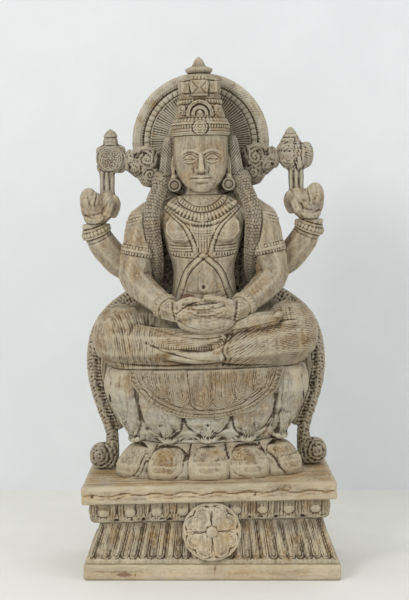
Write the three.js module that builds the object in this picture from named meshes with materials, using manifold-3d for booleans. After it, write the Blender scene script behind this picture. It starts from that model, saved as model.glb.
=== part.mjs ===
// A seated four-armed goddess carved in wood, on a lotus over a stepped plinth.
// Millimetres, +Z up, the face looks along -Y, the origin is the middle of the plinth's underside.
import * as THREE from "three";
import { mergeVertices } from "three/addons/utils/BufferGeometryUtils.js";
import Module from "manifold-3d";

const wasm = await Module();
wasm.setup();

// ---------------------------------------------------------------- driving sizes
const plinth_width = 446; // foot board, left to right
const plinth_depth = 250; // foot board, front to back
const foot_height = 28; // plain edge under the fluted block
const block_height = 74; // fluted block
const valance_height = 35; // petal band under the slab
const slab_height = 31; // board the lotus stands on
const lotus_low_height = 62; // turned-down petals
const lotus_bowl_height = 133; // turned-up petals
const figure_height = 551; // seat to the tip of the crown
const lean = 1.4; // degrees, the slab and all above it were cut this far out of true
const glue = 0.3; // glue line between two blocks
const dowel_radius = 9;
const dowel_play = 0.25; // dowel in its hole, all round

// ---------------------------------------------------------------- sizes that follow
const wide = plinth_width / 446;
const deep = plinth_depth / 250;
const block_top = foot_height + block_height;
const slab_low = block_top + valance_height;
const slab_top = slab_low + slab_height;
const bowl_low = slab_top + lotus_low_height;
const seat = bowl_low + lotus_bowl_height;
const k = figure_height / 551;
const slab_half = 221 * wide;
const slab_deep = 125 * deep;
const panel_front = 40 * k; // the flat back board starts here
const panel_back = 66 * k;
const halo_front = 52 * k;
const neck_z = 305.5 * k;
const crown_z = 409.5 * k;
const stem_x = 170 * k;
const FAR = 600;
const facets = 0.5; // how finely round shapes are faceted

// ---------------------------------------------------------------- making solids
function solid(geometry) {
  for (const n of ["normal", "uv"]) geometry.deleteAttribute(n);
  const g = mergeVertices(geometry, 1e-3);
  const p = g.attributes.position.array;
  const tris = [];
  const [a, b, c] = [0, 1, 2].map(() => new THREE.Vector3());
  let volume = 0;
  for (let i = 0; i < g.index.count; i += 3) {
    const [u, v, w] = [0, 1, 2].map((j) => g.index.getX(i + j));
    if (u === v || v === w || w === u) continue;
    tris.push([u, v, w]);
    volume += a.fromArray(p, 3 * u).dot(b.fromArray(p, 3 * v).cross(c.fromArray(p, 3 * w)));
  }
  if (volume < 0) tris.forEach((t) => t.reverse());
  const mesh = { numProp: 3, vertProperties: p, triVerts: new Uint32Array(tris.flat()) };
  return new wasm.Manifold(new wasm.Mesh(mesh));
}

const fewer = (n, least) => Math.max(least, Math.round(n * facets));
const join = (list) => list.flat().reduce((x, y) => x.add(y));
const cut = (body, ...tools) => tools.flat().reduce((x, y) => x.subtract(y), body);

function box(x0, x1, y0, y1, z0, z1) {
  const g = new THREE.BoxGeometry(x1 - x0, y1 - y0, z1 - z0);
  return solid(g.translate((x0 + x1) / 2, (y0 + y1) / 2, (z0 + z1) / 2));
}

// A ball squeezed to three radii, turned (degrees) and put in place.
function egg(at, r, turn = [0, 0, 0], g = 0, around = 14, rows = 9) {
  const s = new THREE.SphereGeometry(1, fewer(around, 6), fewer(rows, 4)).rotateX(Math.PI / 2);
  return solid(s.scale(r[0] + g, r[1] + g, r[2] + g)).rotate(turn).translate(at);
}

// Rings {c, u, v} joined into one closed skin; the first and last are single points.
function skin(rings, sides) {
  const around = fewer(sides, 6);
  const s = new THREE.SphereGeometry(1, around, rings.length - 1);
  const p = s.attributes.position;
  for (let i = 0; i < rings.length; i++)
    for (let j = 0; j <= around; j++) {
      const f = ((j % around) / around) * 2 * Math.PI;
      const { c, u, v } = rings[i];
      const q = c.clone();
      if (u) q.addScaledVector(u, Math.cos(f)).addScaledVector(v, Math.sin(f));
      p.setXYZ(i * (around + 1) + j, q.x, q.y, q.z);
    }
  return solid(s);
}

// Level ellipses [z, half width, half depth, middle y], flat at both ends.
function stack(sections, g = 0, around = 24, x = 0) {
  const n = sections.length - 1;
  const rings = sections.map(([z, rx, ry, cy = 0], i) => ({
    c: new THREE.Vector3(x, cy, z + (i === 0 ? -g : i === n ? g : 0)),
    u: new THREE.Vector3(rx + g, 0, 0),
    v: new THREE.Vector3(0, ry + g, 0),
  }));
  return skin([{ c: rings[0].c }, ...rings, { c: rings[n].c }], around);
}

// A round-ended limb through points [x, y, z] with a radius at each.
function limb(path, radii, { g = 0, around = 12, rows = 3 } = {}) {
  const curve = new THREE.CatmullRomCurve3(path.map((q) => new THREE.Vector3(...q)));
  const spans = path.length - 1;
  const n = spans * fewer(rows, 2);
  const rings = [];
  const side = new THREE.Vector3(0, 1, 0.02);
  for (let i = 0; i <= n; i++) {
    const t = i / n;
    const way = curve.getTangent(t);
    side.addScaledVector(way, -side.dot(way)).normalize();
    const across = new THREE.Vector3().crossVectors(way, side);
    const j = Math.min(spans - 1, Math.floor(t * spans));
    const f = t * spans - j;
    const e = f * f * (3 - 2 * f);
    const r = radii[j] * (1 - e) + radii[j + 1] * e + g;
    const c = curve.getPoint(t);
    const ring = (offset, size) => ({
      c: c.clone().addScaledVector(way, offset * r),
      u: side.clone().multiplyScalar(r * size),
      v: across.clone().multiplyScalar(r * size),
    });
    if (i === 0) rings.push({ c: ring(-1, 0).c }, ring(-0.7, 0.7));
    rings.push(ring(0, 1));
    if (i === n) rings.push(ring(0.7, 0.7), { c: ring(1, 0).c });
  }
  return skin(rings, around);
}

// A profile of [radius, height] spun about Z.
function turned(profile, at = [0, 0, 0], around = 32, squash = 1) {
  const points = profile.map(([r, z]) => new THREE.Vector2(r, z));
  const spun = new THREE.LatheGeometry(points, fewer(around, 8));
  const g = spun.rotateX(Math.PI / 2).scale(1, squash, 1);
  return solid(g).translate(at);
}

// An outline of [x, z] points given thickness from y0 to y1.
function plate(outline, y0, y1) {
  const shape = new THREE.Shape(outline.map(([x, z]) => new THREE.Vector2(x, z)));
  const g = new THREE.ExtrudeGeometry(shape, { depth: y1 - y0, bevelEnabled: false });
  return solid(g.rotateX(Math.PI / 2).translate(0, y1, 0));
}

// Level rectangles [z, half width, half depth] joined into one block. With a pitch, upright
// flutes run down its sides.
function tiers(list, pitch = 0, dent = 0) {
  const [, w, d] = list[0];
  const base = [];
  for (const [x0, y0, x1, y1] of [
    [w, -d, w, d],
    [w, d, -w, d],
    [-w, d, -w, -d],
    [-w, -d, w, -d],
  ]) {
    const n = pitch ? 2 * Math.round(Math.hypot(x1 - x0, y1 - y0) / pitch) : 1;
    const [nx, ny] = [Math.sign(y1 - y0), -Math.sign(x1 - x0)];
    for (let i = 0; i < n; i++) {
      const inward = i % 2 ? dent : 0;
      const [x, y] = [x0 + ((x1 - x0) * i) / n, y0 + ((y1 - y0) * i) / n];
      base.push([(x - nx * inward) / w, (y - ny * inward) / d]);
    }
  }
  const n = base.length;
  const rows = list.length + 1;
  const g = new THREE.SphereGeometry(1, n, rows);
  const p = g.attributes.position;
  for (let i = 0; i <= rows; i++)
    for (let j = 0; j <= n; j++) {
      const [z, rw, rd] = list[Math.min(Math.max(i - 1, 0), list.length - 1)];
      const [x, y] = i === 0 || i === rows ? [0, 0] : base[j % n];
      p.setXYZ(i * (n + 1) + j, x * rw, y * rd, z);
    }
  return solid(g);
}

// A turned band round a limb at a point, its axis along way.
function cuff(at, way, r, half, g = 0, bulge = 2) {
  const profile = [
    [0, -half],
    [r, -half],
    [r + bulge, -half * 0.45],
    [r + bulge, half * 0.45],
    [r, half],
    [0, half],
  ].map(([a, b]) => [a ? a * k + g : 0, b * k + Math.sign(b) * g]);
  const axis = new THREE.Vector3(...way).normalize();
  const tip = (Math.acos(axis.z) * 180) / Math.PI;
  const spin = (Math.atan2(axis.y, axis.x) * 180) / Math.PI;
  return turned(profile, [0, 0, 0], 20).rotate([0, tip, 0]).rotate([0, 0, spin]).translate(at);
}

const mirror = (s) => s.mirror([1, 0, 0]);
const both = (s) => [s, mirror(s)];
// Everything above the block leans about the middle of the block's top.
const tilt = (s) =>
  s.translate([0, 0, -block_top]).rotate([0, -lean, 0]).translate([-4.5 * wide, 0, block_top]);
// Figure pieces are drawn from the seat up and scaled with the figure.
const P = (x, y, z) => [x * k, y * k, z * k];
const R = (...r) => r.map((v) => v * k);
const lift = (s) => s.translate([0, 0, seat]);

// Where rounded shapes meet they can pinch off a crumb or a bubble: each piece keeps its one body.
const largest = (s) => s.simplify(0.1).decompose().sort((p, q) => q.volume() - p.volume())[0];

const nodes = [];
const add = (name, body, colour) => nodes.push({ name, body: largest(body), colour });

// ---------------------------------------------------------------- plinth
const foot_board = () => {
  const [w, d] = [plinth_width / 2, plinth_depth / 2];
  return tiers([
    [0, w - 3, d - 3],
    [3, w, d],
    [foot_height - 1, w, d],
    [foot_height, w - 1, d - 1],
  ]);
};

const flute_pitch = 24;
const fluted_block = (g = 0, flutes = true) => {
  const [w, d] = [plinth_width / 2 - 3 + g, plinth_depth / 2 - 3 + g];
  const list = [
    [foot_height + glue - g, w, d],
    [foot_height + glue + 6, w, d],
    [foot_height + glue + 13, w - 5 * wide, d - 4 * deep],
    [block_top + 12, w - 30 * wide, d - 21 * deep],
  ];
  const body = flutes ? tiers(list, flute_pitch, 2.2) : tiers(list);
  return cut(body, tilt(box(-FAR, FAR, -FAR, FAR, block_top - glue + g, FAR)));
};

const petal_pitch = 47.6;
const valance_half = 209 * wide;
const valance_deep = 112 * deep;
const valance_bound = (g) => {
  const [w, d] = [valance_half + 2 + g, valance_deep + 2 + g];
  return box(-w, w, -d, d, block_top - g, slab_low - glue + g);
};
// One hanging petal of the band: a tongue with a smaller raised tongue on it.
function tongue(width, height, thick, plain) {
  const h = width / 2 - 1.5;
  const outline = [];
  for (const a of [0, 45, 90, 135, 180]) {
    const r = (a * Math.PI) / 180;
    outline.push([h * Math.cos(r), -height + h * 0.3 - h * 0.3 * Math.sin(r)]);
  }
  outline.push([-h, 0], [h, 0]);
  const raised = egg([0, -thick + 0.6, -height * 0.42], [h * 0.5, 2.5, height * 0.3], [0, 0, 0], 0, 10, 4);
  const flat = plate(outline, -thick, 2);
  return plain ? flat : flat.add(raised);
}
const valance_band = () => {
  const [w, d] = [valance_half - 5, valance_deep - 5];
  const core = box(-w, w, -d, d, block_top, slab_low - glue);
  const petals = [];
  const drop = valance_height - 1.5;
  const row = (half, out, turn) => {
    const n = Math.max(1, Math.round((2 * half) / petal_pitch));
    const step = (2 * half) / n;
    for (let i = 0; i < n; i++) {
      const at = [-half + step * (i + 0.5), -out + 4.5, slab_low - glue];
      petals.push(tongue(step, drop, 4.5, turn === 180).translate(at).rotate([0, 0, turn]));
    }
  };
  row(valance_half - 2, valance_deep, 0);
  row(valance_half - 2, valance_deep, 180);
  row(valance_deep - 2, valance_half, 90);
  row(valance_deep - 2, valance_half, 270);
  return join([core, petals]);
};

const top_slab = () =>
  tiers([
    [slab_low, slab_half - 1, slab_deep - 1],
    [slab_low + 1.5, slab_half, slab_deep],
    [slab_top - 2, slab_half, slab_deep],
    [slab_top, slab_half - 1.5, slab_deep - 1.5],
  ]);

// The flower on the front leans with the fluted block and is cut to fit over it and the band.
const rosette_radius = 51.5;
const rosette_z = slab_low - rosette_radius;
const rosette = () => {
  const r = rosette_radius;
  const disc = [
    [0, -40],
    [r, -40],
    [r, 3],
    [r - 2, 5],
    [r - 5, 5.2],
    [r - 7, 2.5],
    [0, 2.5],
  ];
  const parts = [turned(disc, [0, 0, 0], 36)];
  for (let i = 0; i < 4; i++) {
    const a = 45 + 90 * i;
    for (const s of [-1, 1]) {
      const q = (a * Math.PI) / 180 + s * 0.3;
      const at = [26 * Math.cos(q), 26 * Math.sin(q), 2];
      parts.push(egg(at, [17, 11.5, 4.4], [0, 0, a + s * 9], 0, 14, 8));
    }
    const o = (90 * i * Math.PI) / 180;
    parts.push(egg([39 * Math.cos(o), 39 * Math.sin(o), 2], [6, 3.4, 3], [0, 0, 90 * i], 0, 8, 6));
  }
  const boss = [
    [0, 0],
    [9, 0],
    [9, 5.5],
    [6, 7.2],
    [0, 7.6],
  ];
  parts.push(turned(boss, [0, 0, 0], 16));
  const front = -plinth_depth / 2 + 5.5 * deep;
  const flower = join(parts).rotate([82, 0, 0]).translate([-1, front, rosette_z]);
  return cut(
    flower,
    fluted_block(glue, false),
    tilt(valance_bound(glue)),
    tilt(box(-FAR, FAR, -FAR, FAR, slab_low - glue, FAR)),
    box(-FAR, FAR, -60 * deep, FAR, -50, FAR),
  );
};

// ---------------------------------------------------------------- lotus
// Places things round an ellipse, evenly by the way round and not by angle.
function round_ellipse(a, b, count, each) {
  const steps = 720;
  const at = [[0, -b, 0]];
  for (let i = 1; i <= steps; i++) {
    const t = (i / steps) * 2 * Math.PI;
    const q = [a * Math.sin(t), -b * Math.cos(t)];
    const last = at[i - 1];
    at.push([...q, last[2] + Math.hypot(q[0] - last[0], q[1] - last[1])]);
  }
  const whole = at[steps][2];
  return Array.from({ length: count }, (_, i) => {
    const q = at.find((e) => e[2] >= (whole * i) / count - 1e-6);
    const out = (Math.atan2(q[1] / (b * b), q[0] / (a * a)) * 180) / Math.PI;
    return each(q[0], q[1], out + 90, whole / count, i);
  });
}

const lotus_lower = () => {
  const core = stack(
    [
      [slab_top + glue, 152 * wide, 68 * deep],
      [slab_top + 24, 146 * wide, 67 * deep],
      [bowl_low - 10, 128 * wide, 60 * deep],
      [bowl_low - glue, 125 * wide, 59 * deep],
    ],
    0,
    36,
  );
  const mid = slab_top + 24;
  const petals = round_ellipse(145 * wide, 65 * deep, 10, (x, y, turn, step) =>
    egg([0, 0, 0], [step * 0.49, 16, 40], [-25, 0, 0], 0, 14, 8).rotate([0, 0, turn]).translate([x, y, mid]),
  );
  return join([core, petals]).intersect(
    box(-FAR, FAR, -FAR, FAR, slab_top + glue, bowl_low - glue),
  );
};

const bowl_core = (g = 0) =>
  stack(
    [
      [bowl_low, 122 * wide, 60 * deep],
      [bowl_low + 5, 129 * wide, 64 * deep],
      [bowl_low + 20, 150 * wide, 76 * deep],
      [bowl_low + 38, 163 * wide, 84 * deep],
      [bowl_low + 70, 171 * wide, 88 * deep],
      [bowl_low + 108, 172 * wide, 88 * deep],
      [seat - 8, 169 * wide, 86 * deep],
      [seat - glue, 164 * wide, 83 * deep],
    ],
    g,
    40,
  );
const bowl_whole = (g = 0) => {
  const mid = bowl_low + 66;
  const petals = round_ellipse(151 * wide, 70 * deep, 10, (x, y, turn, step) =>
    egg([0, 0, 0], [step * 0.48, 25, 74], [7, 0, 0], g, 14, 10).rotate([0, 0, turn]).translate([x, y, mid]),
  );
  return join([bowl_core(g), petals]).intersect(
    box(-FAR, FAR, -FAR, FAR, bowl_low - g, seat - glue + g),
  );
};

// The cloth hangs over the front of the bowl in a half round with a scalloped hem.
const cloth_thick = 7;
const cloth_half = 139 * wide;
const cloth_drop = 88;
const cloth_outline = (g = 0) => {
  const out = [];
  for (let i = 0; i <= 52; i++) {
    const t = (Math.PI * i) / 52;
    const wave = 1 - 0.022 * Math.abs(Math.cos(6.5 * t));
    out.push([-(cloth_half + g) * Math.cos(t) * wave, seat - (cloth_drop + g) * Math.sin(t) * wave]);
  }
  out.push([cloth_half + g, seat + 5], [-cloth_half - g, seat + 5]);
  return plate(out, -130 * deep, -20 * deep);
};
const seat_cloth = () => {
  const shell = bowl_core(cloth_thick).subtract(bowl_core());
  return shell.intersect(cloth_outline()).intersect(box(-FAR, FAR, -FAR, FAR, 0, seat - glue));
};
const lotus_bowl = () => cut(bowl_whole(), cloth_outline(glue).subtract(bowl_core(-glue)));

// ---------------------------------------------------------------- side frames
const foot_r = 26 * k;
const foot_x = Math.min(196.5 * wide, slab_half - foot_r + 2);
const foot_z = slab_top - seat + 25 * k;
const side_frame = (g = 0) => {
  const line = [
    P(92, 56, 150),
    P(121, 56, 133),
    P(148, 56, 116),
    P(176, 56, 94),
    P(197, 56, 62),
    P(207, 56, 20),
    [205 * k, 56 * k, -34],
    [192 * k, 56 * k, -80],
    [foot_x - 20 * k, 57 * k, -128],
    [foot_x - 18 * k, 58 * k, foot_z],
  ];
  const band = limb(line, R(14, 14, 14, 14, 14, 13.5, 13, 12.5, 13, 16), { g, around: 10 });
  const inner = [
    P(186, 54, 30),
    P(187, 54, 4),
    [182 * k, 54 * k, -36],
    [171 * k, 54 * k, -78],
    [162 * k, 55 * k, -112],
  ];
  const rib = limb(inner, R(13, 13, 13, 12, 10), { g, around: 9 });
  const ball = egg([foot_x, 58 * k, foot_z], R(26, 22, 26.5), [0, 0, 0], g, 14, 10);
  const eye = egg([foot_x + 4, 38 * k, foot_z + 2], R(12, 5, 12), [0, 0, 0], g, 10, 6);
  const curl = egg([foot_x - 14 * k, 57 * k, foot_z - 8 * k], R(20, 17, 19), [0, 0, 0], g, 12, 8);
  return join([band, rib, ball, eye, curl]).intersect(
    box(104 * k + glue - g, FAR, -FAR, FAR, slab_top - seat + glue - g, FAR),
  );
};

// ---------------------------------------------------------------- back board and halo
const back_panel = () => {
  const half = [
    [104, 0.3],
    [104, 200],
    [100, 236],
    [90, 266],
    [74, 290],
  ].map((q) => R(...q));
  const other = half.map(([x, z]) => [-x, z]).reverse();
  const hollow = egg(P(0, 74, 150), R(60, 14, 105), [0, 0, 0], 0, 20, 12);
  return plate([...half, ...other], panel_front, panel_back).subtract(hollow);
};

const halo_z = 403 * k;
const spokes = 24;
const halo_wheel = () => {
  const profile = [
    [0, 0],
    [60, 0],
    [61, -3],
    [88, -3],
    [90, -0.6],
    [103, -0.6],
    [106, -3.4],
    [109, 0],
    [121, 0],
    [125, -4],
    [125, -18],
    [0, -18],
  ].map(([r, z]) => new THREE.Vector2(r * k, z * k));
  const g = new THREE.LatheGeometry(profile, spokes * 2).rotateX(Math.PI / 2);
  const p = g.attributes.position;
  for (let i = 0; i < p.count; i++) {
    const r = Math.hypot(p.getX(i), p.getY(i)) / k;
    const turn = Math.round((Math.atan2(p.getY(i), p.getX(i)) / Math.PI) * spokes);
    const front = p.getZ(i) > -10 * k;
    if (front && r > 60.5 && r < 88.5 && turn % 2) p.setZ(i, p.getZ(i) + 2 * k);
  }
  const wheel = solid(g).rotate([90, 0, 0]).translate([0, halo_front, halo_z]);
  return wheel.subtract(box(-FAR, FAR, -FAR, FAR, -FAR, 290 * k + glue));
};

// ---------------------------------------------------------------- torso, neck and head
// Rows of [z, half width, half depth, middle y] in figure measure.
const rows_of = (list) => list.map((r) => R(...r));
const torso = (g = 0) => {
  const trunk = stack(
    rows_of([
      [80, 58, 40, 0],
      [112, 60, 44, -2],
      [140, 57, 43, -4],
      [168, 54, 39, -4],
      [186, 57, 39, -3],
      [210, 66, 43, -2],
      [244, 77, 48, -2],
      [268, 82, 48, 0],
      [286, 84, 42, 4],
      [298, 66, 36, 6],
      [306, 44, 32, 6],
    ]),
    g,
    28,
  );
  const breast = egg(P(37, -37, 247), R(33, 17, 28), [-8, 0, 6], g, 14, 10);
  const belly = egg(P(0, -30, 136), R(42, 19, 32), [0, 0, 0], g, 14, 8);
  const collar = limb([P(-58, -30, 290), P(0, -47, 262), P(58, -30, 290)], R(5, 8, 5), { g, around: 9 });
  const side = 84 * k + g;
  return join([trunk, both(breast), belly, collar]).intersect(
    box(-side, side, -FAR, panel_front - glue + g, 80 * k - g, neck_z - glue + g),
  );
};

const head = (g = 0) => {
  const neck = stack(
    rows_of([
      [305.5, 36, 30, 4],
      [314, 31, 28, 4],
      [338, 28, 26, 6],
      [366, 28, 26, 6],
    ]),
    g,
    20,
  );
  const skull = stack(
    rows_of([
      [309, 6, 5, -34],
      [311, 14, 11, -33],
      [317, 24, 20, -27],
      [328, 35, 30, -20],
      [342, 43, 38, -13],
      [360, 47.5, 44, -8],
      [378, 49, 48, -4],
      [396, 49, 50, -1],
      [410, 49, 50, 0],
    ]),
    g,
    28,
  );
  const hair = egg(P(0, 26, 362), R(50, 32, 54), [0, 0, 0], g, 18, 12);
  const bridge = [P(0, -49, 377), P(0, -56, 360), P(0, -60, 349)];
  const nose = limb(bridge, R(4, 5, 6.5), { g, around: 10 });
  const wing = egg(P(0, -52, 347), R(11, 7, 4.8), [0, 0, 0], g, 14, 6);
  const eye = egg(P(19.5, -44, 369), R(10.5, 5, 5.2), [0, 0, 12], g, 12, 8);
  const mouth = (z, out, r) =>
    limb([P(-15, -41, z), P(0, -50, z + out), P(15, -41, z)], R(1.8, r, 1.8), { g, around: 9 });
  const chin = egg(P(0, -38, 318), R(13, 9, 8), [0, 0, 0], g, 12, 8);
  const ear = egg(P(50, 0, 354), R(6, 11, 24), [0, 0, 0], g, 10, 8);
  const lobe = egg(P(49, -9, 331), R(8, 12, 14), [0, 0, 0], g, 10, 6);
  const face = [nose, wing, both(eye), mouth(333.5, 0, 5), chin];
  return join([neck, skull, hair, ...face, both(ear), both(lobe)]).intersect(
    box(-80 * k, 80 * k, -FAR, halo_front - glue + g, neck_z - g, crown_z - glue + g),
  );
};

const crown = () => {
  const tower = [
    [0, 409.5],
    [51.5, 409.5],
    [54, 413],
    [52, 418],
    [52, 426],
    [54, 430],
    [46, 440],
    [39, 464],
    [40, 470],
    [37.5, 476],
    [37.5, 508],
    [20, 520],
    [24.5, 525],
    [24.5, 529],
    [12.5, 533],
    [7, 545],
    [0, 551],
  ];
  const band = turned(rows_of(tower), [0, -3 * k, 0], 38);
  const jewel = egg(P(0, -56, 422), R(14.5, 6.5, 14));
  const hood = (r, y, z, thick) => {
    const path = [180, 140, 90, 40, 0].map((a) => {
      const t = (a * Math.PI) / 180;
      return P(r * Math.cos(t), y, z + r * 1.05 * Math.sin(t));
    });
    return limb(path, path.map(() => thick * k), { around: 9 });
  };
  const bud = egg(P(0, -45, 450), R(6, 5, 7), [0, 0, 0], 0, 8, 6);
  const arches = [hood(21, -43, 446, 4.2), hood(12, -46, 446, 3.4), bud];
  const about = (a, y, z, r) =>
    egg([0, y * k, z * k], r, [0, 0, 0], 0, 10, 6).rotate([0, 0, a]).translate([0, -3 * k, 0]);
  const flowers = [-45, 45].map((a) => about(a, -43, 452, R(11, 5, 12)));
  const studs = [-52, 52].map((a) => about(a, -37, 494, R(9, 6, 15)));
  const shield = rows_of([
    [-14, 478],
    [14, 478],
    [17, 500],
    [12, 514],
    [-12, 514],
    [-17, 500],
  ]);
  const front = plate(shield, -46 * k, -30 * k);
  return join([band, jewel, arches, flowers, front, studs]).intersect(
    box(-90 * k, 90 * k, -FAR, halo_front - glue, crown_z, FAR * 2),
  );
};

// Hair falling from the crown, in front of the shoulder and down inside the arm.
const hair_rope = (g = 0) => {
  const line = [
    P(58, 0, 404),
    P(62, 0, 372),
    P(66, 2, 340),
    P(77, -12, 312),
    P(90, -30, 276),
    P(89, -26, 240),
    P(86, -12, 204),
    P(86, 6, 172),
    P(88, 18, 152),
  ];
  const rope = limb(line, R(8.5, 11, 13, 17, 17, 16, 15.5, 15, 12), { g });
  return rope.intersect(box(0, FAR, -FAR, panel_front - glue + g, 0, crown_z - glue + g));
};

const earring = (g = 0) => {
  const ring = new THREE.CylinderGeometry(12 * k + g, 12 * k + g, 9 * k + 2 * g, 16);
  const boss = egg(P(0, -5, 0), R(5, 3.5, 5), [0, 0, 0], g, 10, 6);
  return solid(ring).add(boss).translate(P(48, -20, 323));
};

// ---------------------------------------------------------------- arms and hands
// The front wrists are cut square to the forearm; side is -1 or 1.
const wrist = P(62, -80, 106);
const wrist_way = new THREE.Vector3(...wrist).sub(new THREE.Vector3(...P(118, -14, 149))).normalize();
const trim_wrist = (body, side, hand, g) => {
  const turn = new THREE.Vector3(side, 1, 1);
  const n = wrist_way.clone().multiply(turn).multiplyScalar(hand ? 1 : -1);
  const at = new THREE.Vector3(...wrist).multiply(turn);
  return body.trimByPlane(n.toArray(), n.dot(at) + glue / 2 - g);
};
const shoulder_cut = 84 * k;
const front_arm = (g = 0) => {
  const line = [
    P(74, 4, 276),
    P(102, 0, 258),
    P(114, -4, 212),
    P(123, -8, 162),
    P(112, -20, 143),
    P(82, -56, 120),
    P(62, -80, 106),
    P(50, -94, 98),
  ];
  const arm = limb(line, R(30, 35, 32, 31, 28, 23.5, 20, 18), { g, around: 14 });
  const bands = [
    cuff(P(114, -4, 207), [-0.22, 0.08, 1], 33, 8, g),
    cuff(P(69, -72, 111), wrist_way.toArray(), 22.5, 6, g),
  ];
  const whole = trim_wrist(join([arm, bands]), 1, false, g);
  // the shoulder is cut flat against the trunk; the forearm passes in front of it
  const inside = box(-FAR, shoulder_cut + glue - g, -FAR, FAR, 190 * k, FAR);
  return cut(whole, inside, box(-FAR, FAR, panel_front - glue + g, FAR, 0, FAR));
};

const clasped_hands = (g = 0) => {
  const palms = [
    egg(P(4, -90, 92), R(57, 25, 27), [0, 0, 0], g, 20, 12),
    egg(P(-26, -92, 104), R(32, 21, 20), [0, 12, 0], g, 14, 10),
    egg(P(28, -92, 103), R(32, 21, 19), [0, -12, 0], g, 14, 10),
  ];
  const root = [P(64, -78, 107), P(52, -86, 103), P(36, -92, 100)];
  const wrists = both(limb(root, R(21, 20, 19), { g }));
  const fingers = [0, 1, 2, 3].map((i) => {
    const line = [P(38 - 2 * i, -104, 112 - 11 * i), P(4, -115 + i, 109 - 11 * i)];
    line.push(P(-30 + 3 * i, -106, 107 - 10.5 * i));
    return limb(line, R(7, 7, 5.6), { g, around: 9 });
  });
  const thumb = (x, z) => {
    const line = [P(44 * x, -98, 116), P(24 * x, -105, 123), P(4 * x, -107, z)];
    return limb(line, R(8, 7.5, 6), { g, around: 9 });
  };
  const whole = join([palms, wrists, fingers, thumb(-1, 120), thumb(1, 127)]);
  return trim_wrist(trim_wrist(whole, 1, true, g), -1, true, g);
};

const rear_wrist = 258 * k;
const rear_arm = () => {
  const line = [
    P(84, 40, 252),
    P(104, 44, 214),
    P(124, 44, 184),
    P(142, 42, 178),
    P(166, 37, 200),
    P(184, 31, 224),
    P(194, 25, 247),
    P(199, 22, 262),
  ];
  const arm = limb(line, R(24, 25, 26, 27.5, 27.5, 27, 24.5, 22), { around: 14 });
  const bracelet = cuff(P(193, 26, 245), [0.38, -0.22, 0.9], 26.5, 6.5);
  const room = box(104 * k + glue, FAR, -FAR, FAR, 0, rear_wrist);
  return cut(arm.add(bracelet).intersect(room), front_arm(glue));
};

const socket = (g) => stack(rows_of([[288, 15.7, 12.7, 20], [330, 15.7, 12.7, 20]]), g, 16, stem_x);
const rear_hand = () => {
  const palm = egg(P(190, 20, 280), R(28, 20, 26), [0, 0, 0], 0, 16, 12);
  const root = stack(rows_of([[258.3, 19, 17, 22], [272, 19, 16, 22]]), 0, 16, 192 * k);
  const finger = (path, r) => limb(path, R(r, r, r * 0.85), { around: 9 });
  const fingers = [
    finger([P(208, 10, 280), P(210, 2, 298), P(208, 0, 311)], 10.5),
    finger([P(193, 6, 282), P(195, -3, 297), P(192, -2, 308)], 10),
    finger([P(183, 8, 268), P(170, -4, 276), P(165, -2, 290)], 9.5),
    finger([P(160, 20, 276), P(154, 14, 292), P(157, 4, 303)], 9),
    finger([P(205, 6, 268), P(192, -4, 264), P(180, -4, 270)], 9),
  ];
  const low = box(0, FAR, -FAR, FAR, 0, rear_wrist + glue);
  return cut(join([palm, root, fingers]), low, socket(glue));
};

// ---------------------------------------------------------------- what the rear hands hold
const stem = () =>
  stack(
    rows_of([
      [288, 15, 12, 20],
      [300, 15.5, 12.5, 20],
      [320, 15, 12, 20],
      [352, 15.5, 12.5, 20],
    ]),
    0,
    16,
    stem_x,
  );
const emblem_x = 162 * k;
const beside_bracket = box(135 * k + glue, FAR, -FAR, FAR, 0, FAR * 2);
const discus = () => {
  const rim = [
    [0, -17],
    [22, -17],
    [23, -14],
    [27, -13],
    [27, 13],
    [23, 14],
    [22, 17],
    [0, 17],
  ];
  const hub = egg([0, 0, 0], R(9, 9, 22), [0, 0, 0], 0, 12, 8);
  const wheel = turned(rows_of(rim), [0, 0, 0], 28).add(hub).rotate([90, 0, 0]);
  const cap = [
    [0, 398],
    [13, 398],
    [15, 404],
    [12.5, 410],
    [13.5, 415],
    [8, 423],
    [0, 429],
  ];
  const point = turned(rows_of(cap), [emblem_x, 22 * k, 0], 18);
  return join([wheel.translate([emblem_x, 22 * k, 374 * k]), point, stem()]).intersect(beside_bracket);
};
const conch = () => {
  const shell = egg(P(7, 0, 0), R(33, 22, 28), [0, 12, 0], 0, 18, 12);
  const coil = (i) => {
    const r = 24 - 5 * i;
    const profile = [
      [0, -5],
      [r, -5],
      [r + 3, 0],
      [r, 5],
      [0, 5],
    ];
    return turned(rows_of(profile), P(0, 0, 16 + 8 * i), 18, 0.8);
  };
  const mouth = egg(P(17, -15, -4), R(10, 9, 22), [0, 14, 0], 0, 12, 8);
  const tip = [
    [0, 30],
    [14, 30],
    [14.5, 36],
    [9, 46],
    [4, 52],
    [0, 54],
  ];
  const body = join([shell, coil(0), coil(1), coil(2), mouth, turned(rows_of(tip), [0, 0, 0], 16)]);
  return body.translate([emblem_x, 22 * k, 371 * k]).add(stem()).intersect(beside_bracket);
};
const bracket = () => {
  const curl = [P(78, 30, 382), P(98, 16, 392), P(122, 18, 384), P(134, 22, 374)];
  const body = [
    egg(P(104, 36, 366), R(34, 24, 30), [0, 0, 0], 0, 16, 12),
    egg(P(92, 22, 372), R(17, 12, 19), [0, 0, 0], 0, 12, 8),
    egg(P(118, 20, 362), R(14, 11, 15), [0, 0, 0], 0, 12, 8),
    limb(curl, R(6, 6, 6, 7), { around: 9 }),
    egg(P(128, 24, 372), R(12, 16, 20), [0, 0, 0], 0, 12, 8),
    egg(P(94, 34, 345), R(25, 20, 24), [0, 0, 0], 0, 14, 10),
  ];
  return join(body).intersect(box(60 * k, 135 * k, -FAR, halo_front - glue, 0, FAR));
};

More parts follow.
